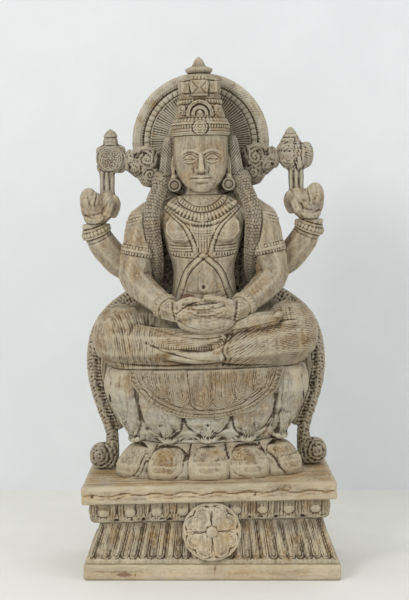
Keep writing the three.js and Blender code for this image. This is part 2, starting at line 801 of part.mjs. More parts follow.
// ---------------------------------------------------------------- legs
const legs = () => {
  const knee = egg(P(147, -22, 57), R(58, 56, 59), [0, 0, 0], 0, 18, 12);
  const thigh = limb([P(30, 12, 62), P(90, 4, 64), P(140, -18, 62)], R(46, 48, 50), { around: 16 });
  const shin = (line, radii) => limb(line, R(...radii), { around: 14 });
  const over = [P(-150, -40, 46), P(-92, -66, 44), P(-30, -80, 50), P(16, -84, 58), P(44, -76, 72)];
  const under = [P(150, -40, 46), P(100, -64, 40), P(56, -78, 36), P(28, -84, 33)];
  const shins = [shin(over, [42, 34, 24, 17, 15]), shin(under, [43, 36, 30, 23])];
  const foot_under = shin([P(24, -88, 26), P(-20, -92, 24), P(-62, -84, 26)], [14, 14, 10]);
  const foot_over = shin([P(44, -80, 74), P(68, -82, 80), P(98, -78, 84), P(122, -68, 86)], [16, 15, 16, 13]);
  const toes = [0, 1, 2, 3, 4].map((i) =>
    egg(P(128 + 3 * Math.sin(i), -84 + 7 * i, 94 - i), R(9 - i * 0.6, 5, 6.5), [0, -20, 0], 0, 8, 6),
  );
  const edge = [P(30, -99, 60), P(38, -94, 48), P(30, -100, 32), P(27, -104, 18)];
  const hem = limb(edge, R(4, 4, 4, 3.5), { around: 6 });
  const pelvis = egg(P(0, 10, 60), R(80, 44, 40), [0, 0, 0], 0, 16, 10);
  const base = stack(
    rows_of([
      [0, 158, 58, -22],
      [14, 172, 62, -22],
      [36, 165, 60, -20],
    ]),
    0,
    36,
  );
  const parts = [both(knee), both(thigh), pelvis, base, shins, foot_under, foot_over, toes, hem];
  const room = box(-FAR, FAR, -FAR, panel_front - glue, 0, FAR);
  return cut(join(parts).intersect(room), torso(glue), clasped_hands(glue), both(front_arm(glue)));
};

// ---------------------------------------------------------------- dowels between the blocks
const dowel = ([x, y, z, half], play = 0) => {
  const r = dowel_radius + play;
  const g = new THREE.CylinderGeometry(r, r, 2 * (half + play), 16);
  return solid(g.rotateX(Math.PI / 2)).translate([x, y, z]);
};
const dowels = {
  dowel_slab_left: [-90 * wide, 0, slab_top, 24],
  dowel_slab_right: [90 * wide, 0, slab_top, 24],
  dowel_lotus: [0, 0, bowl_low, 30],
  dowel_seat: [0, 0, seat, 34],
  dowel_neck: [0, 4 * k, seat + neck_z, 22],
  dowel_crown: [0, -2 * k, seat + crown_z, 22],
};
const drill = (body) => cut(body, ...Object.values(dowels).map((d) => dowel(d, dowel_play)));

// ---------------------------------------------------------------- putting it together
const wood = 0xb8a98a;
const pale = 0xc9bea6;
const dark = 0x9a8c74;
add("plinth_foot", foot_board(), wood);
add("plinth_block", fluted_block(), wood);
add("rosette", rosette(), pale);
const upper = (name, body, colour) => add(name, tilt(drill(body)), colour);
upper("valance_band", valance_band(), dark);
upper("top_slab", top_slab(), wood);
upper("lotus_lower", lotus_lower(), wood);
upper("lotus_bowl", lotus_bowl(), pale);
upper("seat_cloth", seat_cloth(), dark);
const figure = (name, body, colour) => upper(name, lift(body), colour);
const pair = (name, body, colour) => {
  figure(name + "_left", mirror(body), colour);
  figure(name + "_right", body, colour);
};
const rope = hair_rope(glue);
const ring = earring(glue);
pair("side_frame", cut(side_frame(), both(bowl_whole(glue).translate([0, 0, -seat]))), dark);
figure("crossed_legs", legs(), wood);
figure("back_panel", back_panel(), dark);
figure("torso", cut(torso(), both(rope), both(ring)), wood);
figure("head", cut(head(), both(rope), both(ring)), wood);
figure("crown", cut(crown(), both(rope)), wood);
figure("halo_wheel", halo_wheel(), dark);
pair("bracket", cut(bracket(), rope), dark);
figure("discus", mirror(discus()), dark);
figure("conch", conch(), dark);
pair("front_arm", cut(front_arm(), rope), wood);
figure("clasped_hands", clasped_hands(), wood);
pair("rear_arm", cut(rear_arm(), rope), wood);
pair("rear_hand", rear_hand(), wood);
pair("hair_rope", cut(hair_rope(), ring), dark);
pair("earring", earring(), dark);
for (const [name, d] of Object.entries(dowels)) add(name, tilt(dowel(d)), pale);

// ---------------------------------------------------------------- the group
const group = new THREE.Group();
for (const { name, body, colour } of nodes) {
  const m = body.getMesh();
  const at = new Float32Array(m.numVert * 3);
  for (let i = 0; i < m.numVert; i++)
    at.set(m.vertProperties.subarray(i * m.numProp, i * m.numProp + 3), i * 3);
  const g = new THREE.BufferGeometry();
  g.setAttribute("position", new THREE.BufferAttribute(at, 3));
  g.setIndex(new THREE.BufferAttribute(m.triVerts, 1));
  g.computeVertexNormals();
  const finish = new THREE.MeshStandardMaterial({ color: colour, roughness: 0.85, metalness: 0 });
  const mesh = new THREE.Mesh(g, finish);
  mesh.name = name;
  group.add(mesh);
}
export default group;
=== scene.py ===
"""A seated deity with four arms, carved in pale weathered wood on a lotus over a stepped plinth.

Each piece starts as a rough block: a copy of its solid with a few swellings added, turned into one
skin of small even cells and softened. Carving then moves the skin along its normals, in millimetres,
in the upright frame of the figure, whose heights are counted from the seat. How deep a place lies in
the carving is kept on the skin as "hollow"; by it the cuts are painted darker, as dirt and painted
shade, and the ridges paler, as wear and a painted highlight.
"""

import math

import bpy
import numpy as np
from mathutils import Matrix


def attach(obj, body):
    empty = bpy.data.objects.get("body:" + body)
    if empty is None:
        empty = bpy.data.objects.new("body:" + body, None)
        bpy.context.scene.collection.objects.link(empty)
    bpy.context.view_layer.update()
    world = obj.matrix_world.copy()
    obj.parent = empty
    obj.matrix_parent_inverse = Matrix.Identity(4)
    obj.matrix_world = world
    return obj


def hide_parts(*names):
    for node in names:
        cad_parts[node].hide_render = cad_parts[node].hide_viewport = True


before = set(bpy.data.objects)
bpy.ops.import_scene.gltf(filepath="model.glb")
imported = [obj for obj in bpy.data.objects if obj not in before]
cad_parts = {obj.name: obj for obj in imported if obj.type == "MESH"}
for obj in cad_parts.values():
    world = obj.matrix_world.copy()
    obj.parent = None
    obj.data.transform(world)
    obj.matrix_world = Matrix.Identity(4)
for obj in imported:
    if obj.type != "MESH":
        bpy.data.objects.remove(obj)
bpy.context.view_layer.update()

# ---------------------------------------------------------------- measures
MM = 0.001
LEAN = math.radians(1.4)  # the slab and all above it lean this far
BLOCK_TOP = 102.0  # mm, the height they lean about
SHIFT = 4.5  # mm, and stand this far off the middle
SEAT = 363.0  # top of the lotus bowl, before the lean
SLAB_LOW, SLAB_TOP, BOWL_LOW = 137.0, 168.0, 230.0
ROSETTE = (-1.0, 85.5)
HALO_Z = 403.0
FAR = 1.0e3


def upright(p):
    """World points in mm, taken into the figure's frame."""
    dx, dz = p[:, 0] + SHIFT, p[:, 2] - BLOCK_TOP
    c, s = math.cos(LEAN), math.sin(LEAN)
    return np.stack([dx * c + dz * s, p[:, 1], BLOCK_TOP - SEAT - dx * s + dz * c], 1)


def leaning(x, y, z):
    """A place in the figure's frame, in mm, as a world place in metres."""
    c, s = math.cos(LEAN), math.sin(LEAN)
    dz = z + SEAT - BLOCK_TOP
    return ((x * c - dz * s - SHIFT) * MM, y * MM, (BLOCK_TOP + x * s + dz * c) * MM)


# ---------------------------------------------------------------- chance, the same each run
def dice(cell, salt):
    h = cell[:, 0] * np.uint32(73856093) ^ cell[:, 1] * np.uint32(19349663)
    h = h ^ (cell[:, 2] * np.uint32(83492791)) ^ np.uint32((salt * 2654435761) % 2**32)
    h = (h ^ (h >> np.uint32(13))) * np.uint32(1274126177)
    return ((h ^ (h >> np.uint32(16))) & np.uint32(0xFFFF)) / 65535.0


def drift(p, size, salt):
    """Smooth chance between -1 and 1, changing over about one size."""
    q = p / size
    base = np.floor(q)
    f = q - base
    f = f * f * (3 - 2 * f)
    cell = base.astype(np.int64).astype(np.uint32)
    total = np.zeros(len(p))
    for i in (0, 1):
        for j in (0, 1):
            for k in (0, 1):
                w = np.abs(1 - i - f[:, 0]) * np.abs(1 - j - f[:, 1]) * np.abs(1 - k - f[:, 2])
                total += w * dice(cell + np.array([i, j, k], np.uint32), salt)
    return 2 * total - 1


def nearest_seed(p, size, salt):
    """How far the nearest of the scattered seeds is, in sizes."""
    q = p / size
    base = np.floor(q)
    cell = base.astype(np.int64)
    best = np.full(len(p), 9.0)
    for i in (-1, 0, 1):
        for j in (-1, 0, 1):
            for k in (-1, 0, 1):
                step = np.array([i, j, k])
                key = (cell + step).astype(np.uint32)
                seed = [dice(key, salt + a) + base[:, a] + step[a] - q[:, a] for a in range(3)]
                best = np.minimum(best, seed[0] ** 2 + seed[1] ** 2 + seed[2] ** 2)
    return np.sqrt(best)


def ramp(v, low, high):
    t = np.clip((v - low) / (high - low), 0, 1)
    return t * t * (3 - 2 * t)


def between(v, low, high, soft=2.0):
    return ramp(v, low - soft, low + soft) * (1 - ramp(v, high - soft, high + soft))


def bell(away, wide):
    """A round hump that is 1 at nothing and falls off over its width."""
    return np.exp(-((away / wide) ** 2))


def dome(r):
    """A half ball over the unit circle."""
    return np.sqrt(np.clip(1 - r**2, 0, 1))


def steep(wave, power):
    """A wave with flatter crests and steeper sides."""
    return np.sign(wave) * np.abs(wave) ** power


# ---------------------------------------------------------------- rough blocks
def only(*objects):
    bpy.ops.object.select_all(action="DESELECT")
    for o in objects:
        o.select_set(True)
    bpy.context.view_layer.objects.active = objects[0]


def egg(at, radii, turn=0.0, side=1):
    """A ball squeezed to three radii in mm, at a place in the figure's frame."""
    x, y, z = at
    bpy.ops.mesh.primitive_uv_sphere_add(
        segments=20,
        ring_count=12,
        radius=1.0,
        location=leaning(side * x, y, z),
        rotation=(0.0, math.radians(side * turn) - LEAN, 0.0),
        scale=[r * MM for r in radii],
    )
    return bpy.context.object


def settle(piece, kind, **values):
    mod = piece.modifiers.new(kind.lower(), kind)
    for key, value in values.items():
        setattr(mod, key, value)
    only(piece)
    bpy.ops.object.modifier_apply(modifier=mod.name)


def block(node, cell, soften, extras=()):
    """One closed skin of even cells round a copy of a solid and the swellings joined to it."""
    piece = bpy.data.objects.new(node + "_carved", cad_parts[node].data.copy())
    bpy.context.scene.collection.objects.link(piece)
    only(piece)
    bpy.ops.object.mode_set(mode="EDIT")
    bpy.ops.mesh.select_all(action="SELECT")
    bpy.ops.mesh.remove_doubles(threshold=1e-5)
    bpy.ops.object.mode_set(mode="OBJECT")
    if extras:
        only(piece, *extras)
        bpy.ops.object.join()
    settle(piece, "REMESH", mode="VOXEL", voxel_size=cell * MM, adaptivity=0.0)
    if soften:
        settle(piece, "SMOOTH", factor=0.5, iterations=soften)
    return piece


# ---------------------------------------------------------------- carving
def curve(points, steps=7):
    """A smooth run of points through the given ones."""
    p = np.array(points, float)
    p = np.vstack([2 * p[0] - p[1], p, 2 * p[-1] - p[-2]])
    run = []
    for i in range(1, len(p) - 2):
        for t in np.arange(steps) / steps:
            a, b, c, d = p[i - 1 : i + 3]
            run.append(
                0.5 * (2 * b + (c - a) * t + (2 * a - 5 * b + 4 * c - d) * t**2)
                + 0.5 * (3 * b - a - 3 * c + d) * t**3
            )
    run.append(p[-2])
    return np.array(run)


class Skin:
    """A piece's points in the figure's frame, and how far each is raised or cut."""

    def __init__(self, piece, leans=True):
        self.mesh = piece.data
        self.leans = leans
        self.count = len(self.mesh.vertices)
        self.read()

    def read(self):
        flat = np.empty(self.count * 3)
        self.mesh.vertices.foreach_get("co", flat)
        self.world = flat.reshape(-1, 3) / MM
        flat = np.empty(self.count * 3)
        self.mesh.vertices.foreach_get("normal", flat)
        self.normal = flat.reshape(-1, 3).copy()
        self.at = upright(self.world) if self.leans else self.world.copy()
        self.x, self.y, self.z = self.at.T
        self.front = np.clip(-1.7 * self.normal[:, 1] - 0.15, 0, 1)
        self.rise = np.zeros(self.count)

    def across(self):
        """How far across its own side of a board each point is, and which are on the two ends."""
        ends = np.abs(self.normal[:, 1]) < np.abs(self.normal[:, 0])
        return np.where(ends, self.y, self.x), ends

    def upright_part(self, less):
        """1 on upright faces and 0 on level ones."""
        return np.clip(2.2 * (1 - np.abs(self.normal[:, 2])) - less, 0, 1)

    def cut(self):
        self.world += self.normal * self.rise[:, None]
        self.mesh.vertices.foreach_set("co", (self.world * MM).ravel())
        self.mesh.update()
        self.read()

    def follow(self, points, reach=16.0, smooth=True):
        """How far each point is from a line drawn on the front, and how far along it."""
        run = curve(points) if smooth else np.array(points, float)
        away = np.full(self.count, FAR)
        along = np.zeros(self.count)
        low, high = run.min(0) - reach, run.max(0) + reach
        near = (self.x > low[0]) & (self.x < high[0]) & (self.z > low[1]) & (self.z < high[1])
        near = np.nonzero(near & (self.front > 0))[0]
        if not len(near):
            return away, along
        q = np.stack([self.x[near], self.z[near]], 1)
        best, where, done = np.full(len(near), FAR), np.zeros(len(near)), 0.0
        for a, b in zip(run[:-1], run[1:]):
            way = b - a
            size = float(np.hypot(*way)) or 1e-6
            t = np.clip(((q - a) @ way) / size**2, 0, 1)
            d = np.hypot(*(q - a - t[:, None] * way).T)
            closer = d < best
            best[closer] = d[closer]
            where[closer] = done + t[closer] * size
            done += size
        away[near], along[near] = best, where
        return away, along

    def groove(self, points, wide=1.6, deep=1.2, **kw):
        away, _ = self.follow(points, **kw)
        self.rise -= deep * bell(away, wide) * self.front

    def ridge(self, points, wide=2.2, high=1.2, **kw):
        self.groove(points, wide, -high, **kw)

    def beads(self, points, pitch=5.0, high=1.5, **kw):
        away, along = self.follow(points, **kw)
        r = np.hypot((along / pitch) % 1 - 0.5, away / pitch) / 0.46
        sunk = 0.5 * high * (away < pitch * 0.7)
        self.rise += (high * dome(r) - sunk) * self.front

    def teeth(self, points, pitch=4.0, wide=3.0, deep=0.9, **kw):
        away, along = self.follow(points, **kw)
        here = 1 - ramp(away, wide - 0.8, wide + 0.8)
        self.rise += deep * np.cos(2 * np.pi * along / pitch) * here * self.front

    def strokes(self, across, pitch, deep, where, wander=2.0, salt=5):
        """Gouge lines that run where across stays the same, uneven as a hand leaves them."""
        moved = across + wander * drift(self.at, 22.0, salt)
        wave = np.cos(2 * np.pi * moved / pitch)
        weight = 0.55 + 0.45 * drift(self.at, 9.0, salt + 1)
        self.rise += deep * steep(wave, 0.7) * weight * where

    def stipple(self, size, deep, where, salt=11):
        pick = np.nonzero(where > 0.02)[0]
        if len(pick):
            near = nearest_seed(self.at[pick], size, salt)
            self.rise[pick] -= deep * (1 - ramp(near, 0.15, 0.62)) * where[pick]

    def tooled(self, deep=0.25, salt=21):
        """The slight unevenness left all over by the knife and by the weather."""
        self.rise += deep * (drift(self.at, 14.0, salt) + 0.7 * drift(self.at, 5.0, salt + 1))

    def limb(self, points, side=1):
        """How far along a limb's middle line each point is, its way round it and its distance."""
        run = curve(points)
        q = self.at * np.array([side, 1, 1])
        best, where, done = np.full(self.count, FAR), np.zeros(self.count), 0.0
        turn = np.zeros(self.count)
        for a, b in zip(run[:-1], run[1:]):
            way = b - a
            size = float(np.linalg.norm(way)) or 1e-6
            t = np.clip(((q - a) @ way) / size**2, 0, 1)
            off = q - a - t[:, None] * way
            d = np.linalg.norm(off, axis=1)
            closer = d < best
            unit = way / size
            up = np.array([0.0, 1.0, 0.02])
            up -= unit * (up @ unit)
            up /= np.linalg.norm(up)
            out = np.cross(unit, up)
            best[closer] = d[closer]
            where[closer] = (done + t * size)[closer]
            turn[closer] = np.arctan2(off @ up, off @ out)[closer]
            done += size
        return where, turn, best

    def collar(self, along, turn, middle, half, beads=0, high=1.6):
        """A bangle round a limb: two raised edges with a row of beads between them."""
        off = along - middle
        edge = np.exp(-(((np.abs(off) - half) / 1.4) ** 2))
        inside = np.abs(off) < half
        self.rise += high * edge - 0.6 * high * np.exp(-(((np.abs(off) - half - 3.2) / 1.2) ** 2))
        if beads:
            u = (turn / (2 * np.pi) * beads) % 1 - 0.5
            r = np.hypot(u, off / (1.5 * half)) / 0.46
            self.rise += inside * (high * 1.1 * dome(r) - 0.5 * high)

    def scales(self, along, turn, count, pitch, deep, where):
        """Overlapping scales, each row set half a scale round from the last."""
        row = along / pitch
        index = np.floor(row)
        v = row - index
        u = (turn / (2 * np.pi) * count + 0.5 * (index % 2)) % 1 - 0.5
        arc = np.abs(np.hypot(u * 1.1, v - 0.1) - 0.55)
        self.rise += where * deep * (0.8 - v - 1.6 * bell(arc, 0.12))

    def spread(self, times):
        smooth = self.world.copy()
        for _ in range(times):
            total = np.zeros_like(smooth)
            for a, b in ((0, 1), (1, 0)):
                for i in range(3):
                    total[:, i] += np.bincount(self.ends[:, a], smooth[self.ends[:, b], i], self.count)
            smooth = 0.4 * smooth + 0.6 * total / self.valence[:, None]
        return np.sum((smooth - self.world) * self.normal, 1)

    def keep(self, **marks):
        """Write the depth of the carving, and any other marks, on the skin."""
        edges = np.empty(len(self.mesh.edges) * 2, np.int32)
        self.mesh.edges.foreach_get("vertices", edges)
        self.ends = edges.reshape(-1, 2)
        self.valence = np.maximum(np.bincount(edges, minlength=self.count), 1).astype(float)
        # Depth below the smoothed surroundings, near and wide: by it the cuts are painted darker, as dirt and
        # painted shade, and the ridges paler, as wear and a painted highlight.
        marks["hollow"] = np.clip(0.5 + 0.62 * self.spread(5) + 0.2 * self.spread(36), 0, 1)
        for name, values in marks.items():
            layer = self.mesh.attributes.new(name, "FLOAT", "POINT")
            layer.data.foreach_set("value", np.broadcast_to(values, self.count).astype(np.float32).copy())


# ---------------------------------------------------------------- plinth
def carve_foot(s):
    wear = 1.2 * np.clip(drift(s.at, 40.0, 3), 0, 1) * (np.abs(s.x) > 205)
    s.rise -= wear
    s.strokes(s.z + 0.02 * s.x, 6.0, 0.12, 1.0, 3.0)
    knot = np.hypot((s.x - 193) / 2.2, s.z - 3)
    s.rise += 0.35 * np.cos(2 * np.pi * knot / 4.2) * ramp(22 - knot, 0, 8) * s.front
    s.groove([(4, -2), (3, 12), (5, 31)], 0.9, 2.2, smooth=False)
    s.groove([(-135, -2), (-134, 12), (-136, 24)], 0.8, 1.4, smooth=False)
    s.tooled(0.18)
    s.cut()
    stain = np.exp(-(((s.x + 152) / 17) ** 2) - (((s.z - 11) / 5) ** 2)) * (s.y < -110)
    return dict(stain=stain)


def carve_block(s):
    across, _ = s.across()
    face = s.upright_part(0.5)
    u = across / (1 - 0.12 * (s.z - 30) / 74) + 0.8 * drift(s.at * np.array([1, 1, 0.3]), 17.0, 8)
    # flutes in groups, each group's lines nested round a rounded foot
    pitch = 15.5
    v = ((u / pitch + 0.5) % 1 - 0.5) * pitch
    foot = 44.5 + 1.5 * drift(np.floor(u / pitch + 0.5)[:, None] * np.array([7.0, 3.0, 1.0]), 2.0, 12)
    tongue = np.hypot(v, np.maximum(foot - s.z, 0))
    worn = np.clip(0.75 + 0.7 * drift(s.at * np.array([1, 1, 0.12]), 6.0, 28), 0, 1.3)
    flute = ramp(s.z, 36, 38) * (1 - ramp(s.z, 112, 130)) * face
    for line, wide, deep in ((7.7, 1.5, 2.2), (3.7, 1.2, 1.3)):
        s.rise -= deep * worn * np.exp(-(((tongue - line) / wide) ** 2)) * flute
    s.tooled(0.25)
    s.cut()
    # Painted shade on the top of the block, under the overhanging valance and slab.
    return dict(dark=between(s.z, 88, 130, 9) * 0.6)


def carve_valance(s):
    across, side = s.across()
    half = np.where(side, 110.0, 207.0)
    count = np.where(side, 5, 9)
    step = 2 * half / count
    u = ((across + half) / step) % 1 - 0.5
    height = s.z + SEAT - BLOCK_TOP
    face = s.upright_part(0.4)
    uneven = 0.8 * drift(s.at, 11.0, 17)
    tongue = np.hypot(u * step, 1.15 * np.minimum(height - 19, 0)) + uneven
    boss = np.hypot(u * step / 9.5, (height - 17) / 7.0)
    s.rise += 1.5 * dome(boss) * face
    for ring, deep in ((10.6, 1.5), (14.2, 1.0), (17.6, 1.0), (21.6, 1.8)):
        s.rise -= deep * bell(tongue - ring, 1.15) * face
    s.strokes(across, 5.2, 0.9, face * (tongue > 11.5), 1.2)
    torn = ramp(drift(s.at * np.array([1, 1, 0.25]), 5.0, 19), 0.05, 0.3) * (1 - ramp(height, 5, 10))
    s.rise -= 2.6 * torn * face
    notch = (np.abs(u) - 0.5) * step
    s.rise -= 3.0 * bell(notch, 2.2) * face * (1 - ramp(height, 4, 9))
    s.tooled(0.3)
    s.cut()
    return dict(wash=0.25 * (boss < 1.05) + 0.3 * ramp(height, 14, 3), dark=0.15 * (boss > 1.2))


def carve_slab(s):
    face = s.upright_part(0.4)
    across, _ = s.across()
    height = s.z + SEAT - SLAB_LOW
    swing = 16.5 + 2.1 * np.sin(across / 8.6) + 2.0 * drift(s.at, 34.0, 4)
    s.rise -= 1.5 * bell(height - swing, 1.9) * face
    s.rise -= 0.7 * bell(height - swing + 6, 1.6) * face * (drift(s.at, 50.0, 6) > -0.1)
    grain = s.y + 5 * drift(s.at * np.array([0.12, 1, 1]), 26.0, 12)
    top = np.clip(s.normal[:, 2], 0, 1)
    s.rise += 0.22 * np.cos(2 * np.pi * grain / 6.5) * top
    edge_grain = height + 3 * drift(s.at * np.array([0.1, 1, 1]), 22.0, 14)
    s.rise += 0.2 * np.cos(2 * np.pi * edge_grain / 4.6) * face
    for x, z, r in [(-202, 14, 2.0), (79, 12, 1.8), (118, 21, 1.2), (128, 24, 1.0), (139, 22, 1.3)]:
        s.rise -= 3.2 * np.exp(-((np.hypot(s.x - x, height - z) / r) ** 2)) * s.front
    rough = np.exp(-(((s.x - 130) / 32) ** 2) - (((height - 25) / 5) ** 2)) * s.front
    s.stipple(4.2, 1.5, rough)
    chip = ramp(3.5 - np.abs((s.x + 152) - 1.1 * (height - 15)) / 3.2, 0, 3) * s.front
    s.rise -= 1.1 * chip
    s.rise -= 1.3 * np.clip(drift(s.at, 30.0, 7), 0, 1) * (np.abs(s.x) > 212)
    s.tooled(0.2)
    s.cut()
    # The front faces are painted a little darker than the top: painted shade. The rough, pitted patch is
    # darker too.
    return dict(wash=0.7 * chip + 0.15 * face, dark=0.5 * rough + 0.12 * s.front)


def carve_rosette(s):
    x = s.world[:, 0] - ROSETTE[0]
    z = (s.world[:, 2] - ROSETTE[1]) / math.cos(math.radians(8))
    stand = 0.990 * (-119.5 - s.world[:, 1]) + 0.139 * (s.world[:, 2] - ROSETTE[1])
    r, turn = np.hypot(x, z), np.arctan2(z, x) - 0.05
    fold = (turn % (np.pi / 2)) - np.pi / 4
    p, q = r * np.cos(fold), np.abs(r * np.sin(fold))
    # a heart: two rounded lobes and a narrow foot, as the distance in from its edge
    lobe = np.maximum(np.hypot(p - 27, q - 10) - 18.6, 0.76 * (q - 0.93 * p) + 0.5)
    inside = np.clip(-lobe, 0, 12)
    face = 4.0 + 1.9 * np.clip(inside / 2.5, 0, 1) ** 0.5 - 0.9 * ramp(inside, 3, 10)
    sepal = np.hypot((r - 41) / 10, r * (np.abs(fold) - np.pi / 4) / 4.5)
    face = np.maximum(face, 4.0 + 1.8 * dome(sepal))
    face = np.where(r < 9, 4.6 + 2.6 * np.sqrt(np.clip(1 - (r / 9.4) ** 2, 0, 1)), face)
    flat = ramp(s.front, 0.35, 0.8) * (r < 49.5)
    s.rise += (face - stand) * flat
    s.cut()
    for depth, deep in ((0.2, 0.95), (-3.0, 0.8), (-5.6, 0.7), (-8.2, 0.6), (-10.8, 0.4)):
        s.rise -= deep * bell(lobe - depth, 0.95) * s.front * (r > 10) * (r < 47)
    s.rise -= 0.9 * bell(q, 1.0) * s.front * between(p, 37, 45, 2)
    s.rise -= 0.7 * ramp(r, 46.5, 50) * s.front * (0.6 + np.cos(4 * turn) * 0.4)
    s.tooled(0.25)
    s.cut()
    return dict(wash=0.15)


# ---------------------------------------------------------------- lotus
def round_lotus(s, a, b, count):
    """Which petal each point is on, as -1 to 1 across it, and half its width in mm."""
    t = np.linspace(0, 2 * np.pi, 721)
    path = np.stack([a * np.sin(t), -b * np.cos(t)], 1)
    run = np.concatenate([[0], np.cumsum(np.hypot(*np.diff(path, axis=0).T))])
    here = np.arctan2(s.x / a, -s.y / b) % (2 * np.pi)
    way = np.interp(here, t, run) / run[-1] * count
    return 2 * ((way + 0.5) % 1 - 0.5), run[-1] / count / 2


def carve_lotus_low(s):
    u, half = round_lotus(s, 145.0, 65.0, 10)
    height = s.z + SEAT - SLAB_TOP
    wall = np.clip(2.0 * (1 - np.abs(s.normal[:, 2])) - 0.1, 0, 1)
    away = np.hypot(s.x / 145, s.y / 65)
    stand = (away - 1) * np.hypot(s.x, s.y) / np.maximum(away, 0.2)
    flare = np.interp(height, [0, 8, 22, 38, 50, 62], [20, 24, 20, 9, 0, -8])
    puff = 5.0 * (1 - np.abs(u) ** 3.5) - 3.0
    s.rise += np.clip(flare + puff + 4 * ramp(s.x, 90, 150) - stand, -6, 10) * wall
    s.cut()
    v = (height - 26) / 33
    oval = (np.abs(u * 1.08) ** 2.5 + np.abs(v) ** 2.3) ** (1 / 2.4) + 0.05 * drift(s.at, 16.0, 33)
    wall = np.clip(2.0 * (1 - np.abs(s.normal[:, 2])) - 0.1, 0, 1)
    uneven = 0.65 + 0.6 * drift(s.at, 15.0, 35)
    s.rise += 2.2 * (1 - ramp(oval, 0.7, 0.95)) * wall
    petal_lines = [(0.9, 1.6, 2.4), (0.79, 1.1, 1.1), (0.7, 1.0, 0.9), (0.61, 1.0, 0.7), (0.42, 1.0, 0.4)]
    for ring, wide, deep in petal_lines:
        s.rise -= deep * uneven * np.exp(-(((oval - ring) * half / wide) ** 2)) * wall
    outside = ramp(oval, 0.93, 0.99) * wall
    s.strokes(oval * 30 + 6 * np.abs(u), 3.6, 0.9, outside, 1.2)
    s.strokes(u * half, 3.9, 0.5, wall * between(height, 48, 64, 2), 1.0, 37)
    s.rise -= 1.6 * np.exp(-(((np.abs(u) - 1) * half / 1.8) ** 2)) * wall
    s.stipple(5.0, 0.9, 0.5 * wall * (oval < 0.8) * ramp(drift(s.at, 20.0, 38), 0.0, 0.3), 36)
    s.tooled(0.45)
    s.cut()
    brown = (oval < 0.85) * ramp(drift(s.at, 22.0, 39), 0.1, 0.6)
    rim = ramp(oval, 0.9, 1.0)
    # Painted shade on the top of the lower lotus, under the overhanging bowl.
    return dict(dark=0.2 * rim + 0.3 * ramp(height, 50, 62), stain=0.16 * brown, wash=0.3 * rim)


def carve_bowl(s):
    u, half = round_lotus(s, 151.0, 70.0, 10)
    height = s.z + SEAT - BOWL_LOW
    wall = np.clip(2.0 * (1 - np.abs(s.normal[:, 2])) - 0.2, 0, 1)
    away = np.hypot(s.x / 151, s.y / 70)
    stand = (away - 1) * np.hypot(s.x, s.y) / np.maximum(away, 0.2)
    belly = np.interp(height, [0, 8, 20, 36, 60, 90, 112, 133], [-24, -13, -2, 9, 17, 21, 20, 15])
    belly = belly + 14 * ramp(np.abs(s.x), 128, 168) * ramp(height, 40, 105)
    puff = 7.0 * (1 - np.abs(u) ** 2.4) - 3.5
    s.rise += np.clip(belly + puff - stand, -7.5, 11) * wall * (s.y > -95)
    s.cut()
    wall = np.clip(2.0 * (1 - np.abs(s.normal[:, 2])) - 0.2, 0, 1)
    # each petal is a broad tongue with a rounded foot, its edge drawn two or three times
    tongue = np.hypot(u * half, 0.72 * np.maximum(52 - height, 0)) + 1.3 * drift(s.at, 18.0, 39)
    uneven = 0.7 + 0.5 * drift(s.at, 20.0, 40)
    for line, wide, deep in ((0.95, 2.1, 2.2), (0.85, 1.5, 1.0), (0.76, 1.3, 0.7)):
        s.rise -= deep * uneven * np.exp(-(((tongue / half - line) * half / wide) ** 2)) * wall
    side = wall * ramp(np.abs(s.x), 100, 130)
    for line in (0.66, 0.57, 0.47, 0.37):
        s.rise -= 0.8 * uneven * np.exp(-(((tongue / half - line) * half / 1.4) ** 2)) * side
    # short strokes fan up from the foot of the front petals
    fan = np.arctan2(u * half, height + 6) * 38
    s.strokes(fan, 6.4, 1.3, wall * (1 - ramp(height, 12, 30)) * (np.abs(u) < 0.7), 2.0)
    s.rise -= 3.5 * np.exp(-((np.hypot(s.x - 0, s.z + 99) / 2.0) ** 2)) * s.front
    s.tooled(0.5)
    s.cut()
    front_petal = (np.abs(s.x - 4) < 48) & (s.z < -72) & (s.y < 0)
    wash = 0.2 + 0.5 * front_petal + 0.15 * (1 - ramp(height, 0, 40))
    return dict(wash=wash, dark=0.12 * ramp(np.abs(u), 0.9, 1.0))


